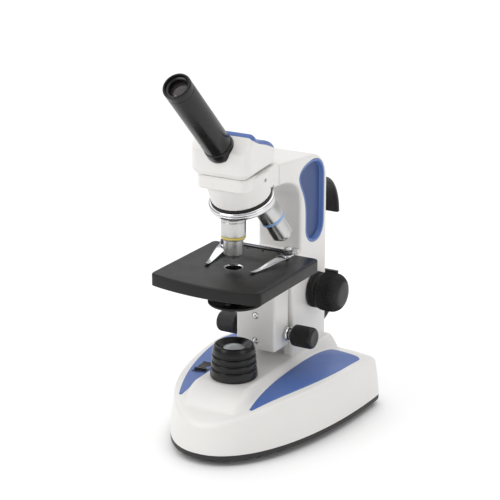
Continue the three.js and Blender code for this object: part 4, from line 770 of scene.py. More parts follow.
# ---------------------------------------------------------------------------------------------
# Base
# ---------------------------------------------------------------------------------------------
@dataclass
class Base(Assembly):
    """The pointed hollow base with its blue panels, black plate, rubber feet, switch and power socket."""

    title = "base"
    half_width: float = 87.2
    front: float = -71.0
    widest: float = 139.0
    rear: float = 165.0
    front_power: float = 2.15
    rear_power: float = 3.2
    plate_low: float = 6.3
    plate_high: float = 11.3
    low: float = 11.6
    lean: float = 3.4
    shoulder: float = 5.0
    edge_front: float = 36.0
    edge_rise: float = 21.0
    rise_length: float = 26.0
    edge_fall: float = 7.0
    fall_from: float = 105.0
    fall_length: float = 50.0
    crown: float = 61.0
    crown_y: float = 60.0
    spine_top: float = 66.6
    spine_flat: float = 25.0
    spine_crest: float = -22.0
    spine_front: float = -52.0
    spine_front_top: float = 44.0
    spine_rear: float = 150.0
    foot_front: tuple[float, float] = (39.0, -24.0)
    foot_rear: tuple[float, float] = (73.0, 132.0)
    switch_at: tuple[float, float] = (-46.0, 19.0)
    socket_at: tuple[float, float] = (-40.0, 30.0)

    def outline(self, count: int, inset: float) -> Array:
        """Draws the superellipse |x/a|^p + |y/b|^p = 1, with its own depth and power before and behind.

        Args:
            count: Number of points.
            inset: Distance that it is pulled in.

        Returns:
            The points of the outline.
        """
        angle = np.linspace(0, FULL_TURN, count, endpoint=False)
        sine, cosine = np.sin(angle), np.cos(angle)
        ahead = sine <= 0
        power = np.where(ahead, self.front_power, self.rear_power)
        depth = np.where(ahead, self.widest - self.front, self.rear - self.widest) - inset
        x = (self.half_width - inset) * np.sign(cosine) * np.abs(cosine) ** (2 / power)
        y = self.widest + depth * np.sign(sine) * np.abs(sine) ** (2 / power)
        return np.stack([x, y], axis=1)

    def edge_height(self, y: Array) -> Array:
        """Returns the height of the wall's top: an exponential rise from the tip, less a fall behind."""
        fall = np.clip((y - self.fall_from) / self.fall_length, 0, 1) * self.edge_fall
        return self.edge_front + self.edge_rise * (1 - np.exp(-(y - self.front) / self.rise_length)) - fall

    def top_height(self, x: Array, y: Array) -> Array:
        """Works out the height of the top: a cubic crown from the wall to the middle, under a raised spine.

        Args:
            x: Places across.
            y: Places along.

        Returns:
            The heights.
        """
        ring = self.outline(720, self.lean + self.shoulder)
        bearing = np.arctan2(ring[:, 1] - self.crown_y, ring[:, 0])
        reach = np.hypot(ring[:, 0], ring[:, 1] - self.crown_y)
        seen = np.arctan2(y - self.crown_y, x)
        limit = np.interp(seen, bearing, reach, period=FULL_TURN)
        share = np.clip(np.hypot(x, y - self.crown_y) / limit, 0, 1)
        edge = self.edge_height(self.crown_y + np.sin(seen) * limit)
        crowned = edge + (self.crown - edge) * (1 - share**3)
        down = np.maximum(0, self.spine_crest - y) / (self.spine_crest - self.spine_front)
        crest = self.spine_top - (self.spine_top - self.spine_front_top) * down**1.75
        crest = crest - 0.35 * np.maximum(0, y - self.spine_rear) ** 2
        crest = crest - np.maximum(0, np.abs(x) - self.spine_flat) ** 2 * 0.11
        return np.where(share > 0.999, edge, soft_highest(crowned, crest, 1.6 * (1 - share**6)))

    def housing(self) -> bpy.types.Object:
        """Lofts the wall, its rounded shoulder and the crowned top as one grid of bearing by row."""
        sides = 288
        rows = []
        for share in np.linspace(0, 1, 9):
            plan = self.outline(sides, self.lean * share**1.4)
            top = self.edge_height(plan[:, 1]) - self.shoulder
            rows.append(np.column_stack([plan, self.low + (top - self.low) * share]))
        for turn in np.linspace(0, math.pi / 2, 8)[1:]:
            plan = self.outline(sides, self.lean + self.shoulder * (1 - math.cos(turn)))
            lift = self.edge_height(plan[:, 1]) - self.shoulder * (1 - math.sin(turn))
            rows.append(np.column_stack([plan, lift]))
        edge = self.outline(sides, self.lean + self.shoulder)
        middle = np.array([0, self.crown_y])
        for share in np.linspace(1, 0, 70)[1:]:
            plan = middle + (edge - middle) * share
            rows.append(np.column_stack([plan, self.top_height(plan[:, 0], plan[:, 1])]))
        wall = self.outline(sides, 2.0)
        rows.insert(0, np.column_stack([wall, np.full(sides, self.low)]))
        rows.insert(0, np.column_stack([np.zeros((sides, 2)) + middle, np.full(sides, self.low)]))
        faces = grid_faces(len(rows), sides, False, True).tolist()
        return mesh_object("base_shell", np.stack(rows), faces)

    def panel(self, side: int) -> bpy.types.Object:
        """Lays a blue panel on the top: a slab ruled between its outer and inner edges, with eased rims.

        Args:
            side: -1 for the left panel, 1 for the right one.

        Returns:
            The panel.
        """
        outer = np.vstack([
            bezier((41.2, -36.2), (56.6, -2.2), (73.0, 52.0), (75.5, 104.0), steps=50),
            bezier((74.8, 122.0), (74.8, 131.0), (66.8, 132.0), steps=12),
        ])
        inner = np.vstack([
            bezier((38.0, -36.2), (32.0, 20.8), (33.0, 104.0), (36.0, 126.0), steps=50),
            bezier((36.5, 129.0), (37.0, 136.0), (43.0, 136.0), steps=12),
        ])
        outer, inner = evenly(outer, 130), evenly(inner, 130)
        across = (1 - np.cos(np.linspace(0, math.pi, 25))) / 2
        plan = outer[:, None] * (1 - across)[None, :, None] + inner[:, None] * across[None, :, None]
        width = np.linalg.norm(outer - inner, axis=1)[:, None]
        border = np.minimum(
            np.minimum(across, 1 - across)[None] * width, 0.8 * np.arange(129, -1, -1)[:, None]
        )
        ease = 0.5 * (1 - np.clip(border / 0.8, 0, 1)) ** 2
        skin = self.top_height(plan[..., 0], plan[..., 1])
        top = np.dstack([plan[..., 0] * side, plan[..., 1], skin + 0.45 - ease])
        foot = np.dstack([plan[..., 0] * side, plan[..., 1], skin - 1.5])
        name = "left" if side < 0 else "right"
        return lofted(f"base_panel_{name}", np.concatenate([top, foot[:, ::-1]], axis=1))

    def plate(self) -> bpy.types.Object:
        """Stacks the black bottom plate with eased edges."""
        steps = quarter_round(self.plate_low, self.plate_high, 0.8)
        return stepped("bottom_plate", self.outline(288, 0.0), steps, Plane.PLAN)

    def foot(self, name: str, x: float, y: float) -> bpy.types.Object:
        """Turns a rubber foot with a shallow cup underneath."""
        corners = [(0, 0.8), (4.0, 0.8), (4.4, 0), (6.0, 0), (6.0, 6.0), (0, 6.0)]
        return turned(name, corners, Axis((x, y, 0), UPRIGHT), 0.7, 48)

    def rocker(self) -> bpy.types.Object:
        """Raises the saddle-shaped rocker out of its frame: a parabola between two peaks."""
        x, y = self.switch_at
        along = np.linspace(8.8, -8.8, 15)
        saddle = np.stack([y + along, 59.5 + 2.4 * (along / 8.8) ** 2], axis=1)
        outline = np.vstack([[[y - 8.8, 50.5], [y + 8.8, 50.5]], saddle])
        return stepped("switch_key", outline, quarter_round(x - 6.2, x + 6.2, 0.6), Plane.SIDE)

    def switch_frame(self) -> bpy.types.Object:
        """Runs a low frame round the rocker, following the slope of the panel."""
        x, y = self.switch_at
        plan = rounded_rectangle(x - 8.2, x + 8.2, y - 11.6, y + 11.6, 1.6)
        rows = []
        for inset, lift in [(0.0, -1.0), (0.0, 0.5), (0.4, 0.9), (1.2, 0.9), (1.5, 0.6), (1.5, -1.0)]:
            ring = inset_ring(plan, inset)
            rows.append(np.column_stack([ring, self.top_height(ring[:, 0], ring[:, 1]) + lift]))
        faces = grid_faces(len(rows), len(plan), True, True).tolist()
        return mesh_object("switch_frame", np.stack(rows), faces)

    def socket(self) -> bpy.types.Object:
        """Turns the round power socket: a flange, a deep mouth and its centre pin."""
        x, z = self.socket_at
        corners = [
            (0, -8), (5.5, -8), (5.5, 0.3), (7.4, 0.3), (7.9, 1.0), (7.4, 2.0), (3.6, 2.0), (3.4, -6),
            (1.0, -6),
            (1.0, 0), (0, 0.4),
        ]
        return turned("power_jack", corners, Axis((x, self.rear + 0.2, z), (0, 1, 0)), 0.3, 48)

    def build(self) -> None:
        """Makes and dresses every piece of the base."""
        self.own(self.housing(), "stand", WHITE_PAINT, "base_housing")
        for side, word in ((-1, "left"), (1, "right")):
            self.own(self.panel(side), "stand", BLUE_PANEL, f"base_inlay_{word}")
        self.own(self.plate(), "stand", PLATE_BLACK, "base_plate")
        for end, (x, y) in (("front", self.foot_front), ("rear", self.foot_rear)):
            for side, word in ((-1, "left"), (1, "right")):
                foot = self.foot(f"rubber_foot_{end}_{word}", side * x, y)
                self.own(foot, "stand", FOOT_RUBBER, f"foot_{end}_{word}")
        self.own(self.rocker(), "rocker", KNOB_BLACK, "switch_rocker")
        self.own(self.switch_frame(), "stand", KNOB_BLACK)
        self.own(self.socket(), "stand", KNOB_BLACK, "power_socket")


# ---------------------------------------------------------------------------------------------
# Lamp
# ---------------------------------------------------------------------------------------------
@dataclass
class Lamp(Assembly):
    """The grooved lamp housing with its domed lens."""

    title = "lamp"
    foot: float = 66.9
    top: float = 100.8
    foot_radius: float = 23.6
    top_radius: float = 20.0
    grooves: int = 3
    first_groove: float = 9.3
    pitch: float = 6.8
    groove_width: float = 1.7
    groove_depth: float = 1.8
    mouth: float = 10.2
    lens_foot: float = 94.5
    lens_rise: float = 3.2

    def housing(self) -> bpy.types.Object:
        """Turns the tapered housing, each groove a notch in the straight taper."""
        taper = (self.foot_radius - self.top_radius) / (self.top - self.foot) * 0.8
        corners = [
            (16.0, self.foot), (self.foot_radius - 0.8, self.foot), (self.foot_radius, self.foot + 1.4)
        ]
        for k in range(self.grooves):
            z = self.foot + self.first_groove + k * self.pitch
            r = self.foot_radius - taper * (z - self.foot)
            corners += [(r, z - 0.9), (r - 0.5, z), (r - self.groove_depth, z + 0.1)]
            corners += [
                (r - self.groove_depth, z + self.groove_width - 0.1), (r - 0.7, z + self.groove_width)
            ]
            corners += [(r - 0.2, z + self.groove_width + 0.9)]
        lip = self.lens_foot + 2.3
        corners += [(self.top_radius + 0.6, self.top - 4), (self.top_radius - 0.8, self.top - 0.7)]
        corners += [(self.top_radius - 2.2, self.top), (self.mouth + 3, self.top - 2.6), (self.mouth, lip)]
        corners += [
            (self.mouth + 1.4, lip), (self.mouth + 1.4, self.lens_foot - 0.3),
            (self.mouth, self.lens_foot - 2)
        ]
        corners += [(16.0, self.lens_foot - 5)]
        return turned("lamp_barrel", corners, Axis((0, 0, 0), UPRIGHT), 0.45, 128)

    def lens(self) -> bpy.types.Object:
        """Domes the lens: its height falls with the square of the radius."""
        share = np.linspace(1, 0, 20)
        dome = np.stack(
            [(self.mouth - 0.4) * share, self.lens_foot + 2 + self.lens_rise * (1 - share**2)], axis=1
        )
        seat = [
            [0, self.lens_foot], [self.mouth + 1.1, self.lens_foot], [self.mouth + 1.1, self.lens_foot + 2]
        ]
        return revolve("lamp_dome", np.vstack([seat, dome]), Axis((0, 0, 0), UPRIGHT), 96)

    def build(self) -> None:
        """Makes and dresses the lamp."""
        self.own(self.housing(), "stand", SATIN_BLACK, "lamp_housing")
        self.own(self.lens(), "stand", FROSTED_GLASS, "lamp_lens")
        self.keep(BOARD, "lamp_board")


# ---------------------------------------------------------------------------------------------
# Arm
# ---------------------------------------------------------------------------------------------
@dataclass
class Arm(Assembly):
    """The arched column with its blue side grips and the two cord hooks behind it."""

    title = "arm"
    half_width: float = 24.5
    edge: float = 3.5
    foot: float = 52.0
    front: float = 73.5
    throat: float = 90.0
    ledge: float = 172.0
    rear: float = 145.3
    seam: float = 44.95
    top_front: float = 274.6
    top_rear: float = 266.0
    arch: float = 252.0
    grip_rear: float = 139.0
    grip_waist: float = 99.4
    grip_front: float = 85.3
    grip_top: float = 263.0
    grip_chin: float = 248.6
    grip_waist_height: float = 206.0
    grip_foot: float = 175.4
    grip_round: float = 20.0
    grip_thick: float = 7.0
    grip_hollow: float = 4.5
    grip_rim: float = 2.8
    hook_reach: float = 39.0
    hook_drop: float = 46.0
    hook_thick: float = 4.0
    hook_half_width: float = 19.0
    upper_hook: float = 235.0
    lower_hook: float = 78.0

    def side_outline(self) -> Array:
        """Draws the column, the arched throat and the sloping top in Y and Z."""
        back = bezier(
            (self.rear, 236), (self.rear, 252), (134, self.top_rear - 2), (116, self.top_rear + 1.6), steps=28
        )
        throat = bezier(
            (self.seam, self.arch), (70, self.arch - 1), (self.throat, 244), (self.throat, 224), steps=30
        )
        throat = np.delete(throat, (1, 2), axis=0)
        return np.vstack([
            [[self.front, self.foot], [self.rear, self.foot]], back, [[98, 270], [self.seam, self.top_front]],
            throat, [[self.throat, self.ledge + 2]],
            [[self.throat - 2, self.ledge], [self.front, self.ledge]],
        ])

    def grip_outline(self) -> Array:
        """Draws the kidney-shaped grip from four Bezier curves and a straight back."""
        crest = self.grip_rear - 26
        middle = (self.grip_rear + self.grip_waist) / 2
        top, chin, foot = self.grip_top, self.grip_chin, self.grip_foot
        pieces = [
            bezier(
                (self.grip_rear, top - 23), (self.grip_rear, top - 9), (self.grip_rear - 9, top),
                (crest, top)
            ),
            bezier((crest, top), (crest - 14, top - 1), (self.grip_front, chin + 9), (self.grip_front, chin)),
            bezier((self.grip_front, chin), (self.grip_front + 2, chin - 12), (self.grip_waist, chin - 17),
                   (self.grip_waist, self.grip_waist_height)),
            bezier(
                (self.grip_waist, foot + 18), (self.grip_waist, foot + 7), (middle - 9, foot),
                (middle + 1, foot)
            ),
            bezier((middle + 1, foot), (middle + 12, foot), (self.grip_rear, foot + 7),
                   (self.grip_rear, foot + self.grip_round)),
        ]
        return evenly(np.vstack([*pieces, pieces[0][:1]]), 181)[:-1]

    def column(self) -> bpy.types.Object:
        """Widens the side outline with rounded edges and cuts the grip pockets and the focus guides."""
        body = stepped(
            "arm_casting", self.side_outline(), quarter_round(-self.half_width, self.half_width, self.edge),
            Plane.SIDE
        )
        deep = self.half_width - self.grip_thick - 0.3
        pockets = [
            stepped("cutter", self.grip_outline(), np.array([[0.0, low], [0.0, high]]), Plane.SIDE)
            for low, high in ((-40.0, -deep), (deep, 40.0))
        ]
        guides = [
            box_cutter(-15.3, 15.3, 60, 80.3, 64.5, 156.6),
            box_cutter(-6.3, 6.3, 60, 131, 85, 156),
            round_cutter(Axis((0, 118.6, 125), SIDEWAYS), 4.3, -40, 40, 32),
        ]
        return carved(body, pockets + guides)

    def grip_rim_piece(self, side: int, word: str) -> bpy.types.Object:
        """Stands the grip's raised rim in its pocket."""
        rim, out = self.grip_rim, self.half_width
        steps = np.array([
            [0.3, out - self.grip_thick], [0.3, out - 0.4], [0.45, out - 0.1], [0.8, out], [rim - 0.6, out],
            [rim - 0.2, out - 0.15], [rim, out - 0.6], [rim + 0.9, out - self.grip_hollow + 0.2],
            [rim + 1.4, out - self.grip_hollow - 0.4],
        ])
        steps[:, 1] *= side
        return stepped(f"grip_rim_{word}", self.grip_outline(), steps, Plane.SIDE)

    def grip_floor_piece(self, side: int, word: str) -> bpy.types.Object:
        """Lays the grip's sunk floor, slightly dished, inside the rim."""
        floor = self.half_width - self.grip_hollow
        steps = np.array([[2.6, floor - 1.2], [2.6, floor + 0.35], [5.0, floor + 0.15], [8.0, floor]])
        steps[:, 1] *= side
        return stepped(f"grip_floor_{word}", self.grip_outline(), steps, Plane.SIDE)

    def hook(self, name: str, height: float, way: int) -> bpy.types.Object:
        """Bends a cord hook: the band between two quarter ellipses, closed by a short back plate.

        Args:
            name: Name of the object.
            height: Height of its root.
            way: -1 when it hangs down from its root, 1 when it stands up.

        Returns:
            The hook.
        """
        turn = np.linspace(math.pi / 2, 0, 28)
        outer = np.stack([self.hook_reach * np.cos(turn), self.hook_drop * (np.sin(turn) - 1)], axis=1)
        back = turn[::-1][:-2]
        thin = self.hook_thick
        inner = np.stack(
            [
                (self.hook_reach - thin) * np.cos(back),
                (self.hook_drop - thin) * np.sin(back) - self.hook_drop
            ], axis=1
        )
        plate = np.array([
            [thin, -self.hook_drop + 11], [thin, -self.hook_drop + 10], [0, -self.hook_drop + 10]
        ])
        outline = np.vstack([outer, inner, plate])
        outline = np.stack([outline[:, 0] + self.rear + 0.3, height - way * outline[:, 1]], axis=1)
        if way < 0:
            outline = outline[::-1]
        return stepped(
            name, outline, quarter_round(-self.hook_half_width, self.hook_half_width, 1.1), Plane.SIDE
        )

    def build(self) -> None:
        """Makes and dresses the arm, its grips and its hooks."""
        self.own(self.column(), "stand", WHITE_PAINT, "arm")
        for side, word in ((-1, "left"), (1, "right")):
            # The rim's lighter blue is painted highlight of the lit side.
            self.own(self.grip_rim_piece(side, word), "stand", BLUE_RIM_PAINTED_LIGHT, f"arm_grip_{word}")
            # The floor's darker blue is painted shade of the grip's recess.
            self.own(self.grip_floor_piece(side, word), "stand", BLUE_FLOOR_PAINTED_SHADE)
        self.own(self.hook("cord_hood_upper", self.upper_hook, -1), "stand", KNOB_BLACK, "cord_hook_upper")
        self.own(self.hook("cord_hood_lower", self.lower_hook, 1), "stand", KNOB_BLACK, "cord_hook_lower")


# ---------------------------------------------------------------------------------------------
# Nose and nosepiece
# ---------------------------------------------------------------------------------------------
@dataclass
class Nose(Assembly):
    """The casting that carries the head above and the tilted nosepiece below."""

    title = "nose"
    apex: float = 290.1
    cone_end: float = 43.9
    cone_radius: float = 29.2
    cone_flare: float = 2.0
    cone_height: float = 30.0
    rim_radius: float = 32.3
    part_line: float = 274.85
    front: float = -25.8
    half_width: float = 27.6
    taper: float = 0.0013
    plate_foot: float = 261.5
    corner: float = 9.0
    seam: float = 44.65
    lock_at: tuple[float, float] = (7.0, 268.4)

    def axis(self) -> Axis:
        """Returns the nosepiece's axis from the apex downwards."""
        return Axis((0, 0, self.apex), NOSE_WAY)

    def casting(self) -> bpy.types.Object:
        """Joins the tapered plate, the cone and the rear block, and softens them as one casting."""
        outline = rounded_rectangle(
            -self.half_width, self.half_width, self.front, self.seam + 3, self.corner, 14
        )
        outline[:, 0] *= 1 - self.taper * (outline[:, 1] - self.front)
        plate = stepped(
            "nose_casting", outline, quarter_round(self.plate_foot, self.part_line, 1.4), Plane.PLAN
        )
        start = self.cone_end - self.cone_height
        wide = self.cone_radius + self.cone_flare
        cone = revolve(
            "cutter",
            np.array([
                [0, start], [wide, start], [wide, start + 8], [self.cone_radius, self.cone_end],
                [0, self.cone_end]
            ]),
            self.axis(), 128,
        )
        block = box_cutter(-24.4, 24.4, 20, self.seam + 3, 252.8, self.part_line - 0.6)
        carved(plate, [cone, block], "UNION")
        over = box_cutter(-60, 60, -80, 80, self.part_line, 330)
        under = round_cutter(self.axis(), self.rim_radius + 0.6, self.cone_end, 75, 96)
        behind = box_cutter(-60, 60, self.seam, 90, 200, 330)
        carved(plate, [over, under, behind])
        cast(plate, 0.75, 5)
        y, z = self.lock_at
        return carved(plate, [round_cutter(Axis((0, y, z), SIDEWAYS), 2.1, 17, 60, 32)])

    def bearing(self) -> bpy.types.Object:
        """Turns the ring between the cone and the nosepiece; its black finish is painted shade of the gap."""
        low, high = self.cone_end + 0.3, self.cone_end + 2.1
        return turned(
            "bearing_ring_painted_shade", [(23.9, low), (29.9, low), (29.9, high), (23.9, high)], self.axis(), 0.3, 128
        )

    def lock(self) -> bpy.types.Object:
        """Turns the socket screw that locks the head, its mouth a six-sided hole."""
        y, z = self.lock_at
        axis = Axis((0, y, z), SIDEWAYS)
        screw = turned(
            "lock_grub", [(0, 17.6), (1.8, 17.6), (1.8, 25.4), (1.4, 25.9), (0, 25.9)], axis, 0.2, 32
        )
        return carved(screw, [round_cutter(axis, 0.95, 23.6, 28, 6)])

    def build(self) -> None:
        """Makes and dresses the nose."""
        self.own(self.casting(), "stand", WHITE_PAINT, "nose")
        # The bearing ring is dressed black as painted shadow in the gap under the cone.
        self.own(self.bearing(), "stand", KNOB_BLACK, "turret_bearing")
        self.own(self.lock(), "lock", GUNMETAL, "lock_screw")


@dataclass(frozen=True)
class ObjectiveSizes:
    """The lengths and radii of one objective, and the place that it turns to."""

    name: str
    turn: float
    length: float
    barrel: float
    neck: float
    tip: float
    lens: float
    band: Finish


@dataclass
class Nosepiece(Assembly):
    """The revolving nosepiece with its three objectives."""

    title = "nosepiece"
    apex: float = 290.1
    top: float = 46.3
    rim_radius: float = 32.3
    rim_height: float = 7.2
    seat: float = 57.5
    barrel_radius: float = 12.1
    band_width: float = 2.2
    band_depth: float = 1.0
    objectives: tuple[ObjectiveSizes, ...] = (
        ObjectiveSizes("10x", 0.0, 40.4, 17.4, 9.5, 5.4, 3.2, BAND_YELLOW),
        ObjectiveSizes("40x", 120.0, 44.4, 18.5, 10.6, 7.4, 2.2, BAND_BLUE),
        ObjectiveSizes("4x", -120.0, 26.0, 11.0, 10.0, 8.5, 4.6, BAND_RED),
    )

    def disc(self) -> bpy.types.Object:
        """Turns the bright rim and the dished underside that the objectives screw into."""
        low = self.top + self.rim_height
        slope = math.tan(TILT)
        ring = self.seat * slope + 12
        hub = self.seat + (self.seat * slope - 7) * slope - 3
        corners = [
            (0, self.top - 6), (3, self.top - 6), (3, self.top), (self.rim_radius - 1.4, self.top),
            (self.rim_radius, self.top + 1.4), (self.rim_radius, self.top + 3.1),
            (self.rim_radius - 0.45, self.top + 3.4),
            (self.rim_radius, self.top + 3.7), (self.rim_radius, low - 1.1), (self.rim_radius - 1.1, low),
            (ring, self.seat - 12 * slope), (7, hub), (6.2, hub + 0.3), (0, hub + 0.3),
        ]
        return turned("nosepiece_disc", corners, Axis((0, 0, self.apex), NOSE_WAY), 0.6, 160)

    def seat_axis(self, sizes: ObjectiveSizes) -> Axis:
        """Turns the straight-down direction about the nosepiece's axis: Rx(tilt) Rz(turn) Rx(-tilt)."""
        turn = math.radians(sizes.turn)
        side, ahead, down = 0.0, -math.sin(TILT), -math.cos(TILT)
        sine, cosine = math.sin(turn), math.cos(turn)
        side, ahead = side * cosine - ahead * sine, ahead * cosine + side * sine
        way = (
            side, ahead * math.cos(TILT) - down * math.sin(TILT),
            ahead * math.sin(TILT) + down * math.cos(TILT)
        )
        reach = self.seat / math.cos(TILT)
        return Axis((way[0] * reach, way[1] * reach, self.apex + way[2] * reach), way)

    def barrel(self, sizes: ObjectiveSizes, axis: Axis) -> bpy.types.Object:
        """Turns an objective's barrel, its ring groove, neck, chamfers and tip."""
        r, end = self.barrel_radius, sizes.length
        groove = r - self.band_depth - 0.3
        band_end = sizes.barrel + self.band_width + 0.6
        tip_top = end - 3.8
        corners = [
            (6, 0.3), (r - 0.7, 0.3), (r, 1.0), (r, 2.6), (r - 0.35, 2.8), (r - 0.35, 3.4), (r, 3.6),
            (r, sizes.barrel),
            (groove, sizes.barrel), (groove, band_end), (r - 0.5, band_end), (r - 0.7, band_end + 0.9),
            (sizes.neck, band_end + 1.4), (sizes.neck, tip_top - 0.5), (sizes.neck - 0.6, tip_top),
            (sizes.tip + 0.5, tip_top + 0.4), (sizes.tip, end - 0.9), (sizes.tip - 0.7, end),
            (sizes.lens + 0.5, end),
            (sizes.lens + 0.3, end - 0.5), (sizes.lens + 0.3, end - 4), (6, end - 4.4),
        ]
        return turned(f"objective_barrel_{sizes.name}", corners, axis, 0.25, 112)

    def build(self) -> None:
        """Makes and dresses the nosepiece and its objectives."""
        self.own(self.disc(), "nosepiece", NOSE_METAL, "turret")
        for sizes in self.objectives:
            axis = self.seat_axis(sizes)
            metal = TurnedMetal(
                f"turned_objective_{sizes.name}", "satin_metal", axis.direction, (0.62, 0.62, 0.61),
                (0.5, 0.5, 0.5)
            )
            self.own(self.barrel(sizes, axis), "nosepiece", metal, f"objective_{sizes.name}")
            inner = self.barrel_radius - self.band_depth
            low, high = sizes.barrel + 0.3, sizes.barrel + 0.3 + self.band_width
            r = self.barrel_radius
            ring = [
                (inner, low), (r - 0.1, low), (r, low + 0.2), (r, high - 0.2), (r - 0.1, high),
                (inner, high)
            ]
            self.own(
                turned(f"colour_ring_{sizes.name}", ring, axis, 0.1, 96), "nosepiece", sizes.band,
                f"band_{sizes.name}"
            )
            share = np.linspace(1, 0, 10)
            dome = np.stack([sizes.lens * share, sizes.length - 1.0 + 0.5 * (1 - share**2)], axis=1)
            glass = np.vstack([[[0, sizes.length - 2]], [[sizes.lens, sizes.length - 2]], dome])
            lens = revolve(f"tip_lens_{sizes.name}", glass, axis, 40)
            self.own(lens, "nosepiece", COATED_GLASS, f"front_lens_{sizes.name}")


# ---------------------------------------------------------------------------------------------
# Head and eyepiece
# ---------------------------------------------------------------------------------------------
@dataclass
class Head(Assembly):
    """The sloping head with its blue saddle, the tube's collar and the eyepiece."""

    title = "head"
    front: float = -29.5
    rear: float = 43.5
    half_width: float = 32.5
    taper: float = 0.004
    edge: float = 5.0
    low: float = 275.15
    inlay_thick: float = 3.0
    tube_foot: tuple[float, float] = (-25.9, 304.3)
    collar_radius: float = 14.3
    collar_height: float = 5.0
    eye_radius: float = 13.6
    eye_length: float = 103.0
    sleeve_radius: float = 11.6
    sleeve_depth: float = 12.0
    bore: float = 9.8
    eye_mouth: float = 11.4

    def tube_axis(self) -> Axis:
        """Returns the eyepiece's axis from the foot of the tube."""
        return Axis((0, *self.tube_foot), TUBE_WAY)

    def side_outline(self) -> Array:
        """Draws the head from the side: an upright front, a slanted face, a ridge and a falling back."""
        slope = self.tube_foot[1] - self.tube_foot[0]
        back = bezier((self.rear, 284), (self.rear, 297), (24, 302.5), (14, 304.6), steps=18)
        dip = bezier((14, 304.6), (5, 306.8), (-3, 310.2), (-13, slope - 13), steps=12)[1:-4]
        outline = np.vstack([
            [[self.front, self.low], [self.rear, self.low]], back, dip,
            [[-13, slope - 13], [self.front, slope + self.front]],
        ])
        return outline

    def pinch(self, piece: bpy.types.Object) -> None:
        """Narrows the head towards the back and at its foot, each place across scaled by a linear share."""
        mesh = piece.data
        flat = np.empty(len(mesh.vertices) * 3, np.float32)
        mesh.vertices.foreach_get("co", flat)
        points = flat.reshape(-1, 3).astype(float) / MM
        y = points[:, 1] - AXIS_Y
        near_foot = np.clip((self.low + 5 - points[:, 2]) / 5, 0, 1)
        points[:, 0] *= 1 - self.taper * np.maximum(0, y - self.front)
        points[:, 0] *= 1 - 0.11 * near_foot
        points[:, 1] += np.where(y < 0, 3.2 * near_foot * np.minimum(1, -y / 20), 0)
        mesh.vertices.foreach_set("co", (points * MM).astype(np.float32).ravel())
        mesh.update()

    def saddle_field(self, grow: float) -> bpy.types.Object:
        """Returns the space above the curve that parts the blue saddle from the white head."""
        lift = self.inlay_thick + grow
        curve = bezier(
            (48.5, 287 - grow), (39.5, 293 - lift * 0.6), (28, 299 - lift), (16, 303.5 - lift), steps=20
        )
        front = -16 - grow
        ridge = bezier(
            (16, 303.5 - lift), (7, 306.3 - lift), (-4, 308.5 - lift), (front, 315.5 - lift), steps=14
        )
        outline = np.vstack([curve[::-1], [[48.5, 330], [front, 330]], ridge[:0:-1]])
        area = np.sum(outline[:, 0] * np.roll(outline[:, 1], -1) - np.roll(outline[:, 0], -1) * outline[:, 1])
        outline = outline if area > 0 else outline[::-1]
        return stepped("cutter", outline, np.array([[0.0, -60.0], [0.0, 60.0]]), Plane.SIDE)

    def casting(self) -> bpy.types.Object:
        """Crosses the side outline with the plan outline, softens the result and pinches it."""
        w, e = self.half_width, self.edge
        body = stepped("head_casting", self.side_outline(), quarter_round(-w, w, e), Plane.SIDE)
        plan = rounded_rectangle(-w, w, self.front, self.rear, 10, 12)
        column = stepped("cutter", plan, np.array([[0.0, self.low], [0.0, 330.0]]), Plane.PLAN)
        carved(body, [column], "INTERSECT")
        cast(body, 0.8, 8)
        self.pinch(body)
        return body

    def build(self) -> None:
        """Makes and dresses the head, the saddle, the collar and the whole eyepiece."""
        body = self.casting()
        saddle = body.copy()
        saddle.data = body.data.copy()
        saddle.name = "head_saddle"
        bpy.context.scene.collection.objects.link(saddle)
        axis = self.tube_axis()
        well = self.collar_radius + 0.3
        carved(saddle, [self.saddle_field(0.0)], "INTERSECT")
        carved(saddle, [round_cutter(axis, well, -9, 90, 96)])
        carved(body, [self.saddle_field(0.25), round_cutter(axis, well, -6.3, 90, 96)])
        carved(body, [round_cutter(axis, self.sleeve_radius + 0.3, -12.4, 0, 96)])
        self.own(body, "head", WHITE_PAINT, "head_housing")
        self.own(saddle, "head", BLUE_PANEL, "head_inlay")
        r, h, s = self.collar_radius, self.collar_height, self.sleeve_radius + 0.3
        collar = [(s, -6), (r, -6), (r, h - 1), (r - 0.7, h), (s, h)]
        self.own(turned("tube_foot_collar", collar, axis, 0.3, 128), "head", SATIN_BLACK, "tube_collar")
        self.keep(GLASS, "prism")
        self.eyepiece(axis)

    def eyepiece(self, axis: Axis) -> None:
        """Turns the long black tube with its stepped mouth, and the eye lens inside it.

        Args:
            axis: The tube's axis.
        """
        r, b, end, low = self.eye_radius, self.bore, self.eye_length, self.collar_height + 0.3
        top = end - 7
        corners = [
            (b, -self.sleeve_depth), (self.sleeve_radius, -self.sleeve_depth), (self.sleeve_radius, low),
            (r - 0.4, low),
            (r, low + 0.5), (r, end - 9.0), (r - 0.25, end - 8.8), (r - 0.25, end - 8.4), (r, end - 8.2),
            (r, end - 1.7),
            (r - 0.5, end - 0.5), (r - 1.5, end), (self.eye_mouth, end - 0.7),
            (self.eye_mouth - 0.3, end - 3.4),
            (b - 0.6, end - 4), (b - 1.2, top + 0.3), (b + 0.7, top + 0.3), (b + 0.7, top - 5.3),
            (b - 1.2, top - 5.3),
            (b - 1.2, 18.3), (b + 0.5, 18.3), (b + 0.5, 13.7), (b, 13.7),
        ]
        self.own(
            turned("eyepiece_barrel", corners, axis, 0.35, 144), "eyepiece_tube", SATIN_BLACK, "eyepiece"
        )
        share = np.linspace(1, 0, 22)
        edge = b + 0.4
        dome = np.stack([edge * share, top - 1.4 + 1.4 * (1 - share**2)], axis=1)
        lens = np.vstack([[[0, top - 5], [edge, top - 4.4]], dome])
        self.own(revolve("eye_glass", lens, axis, 96), "eyepiece_tube", COATED_GLASS, "eye_lens")
        self.keep(GLASS, "field_lens")


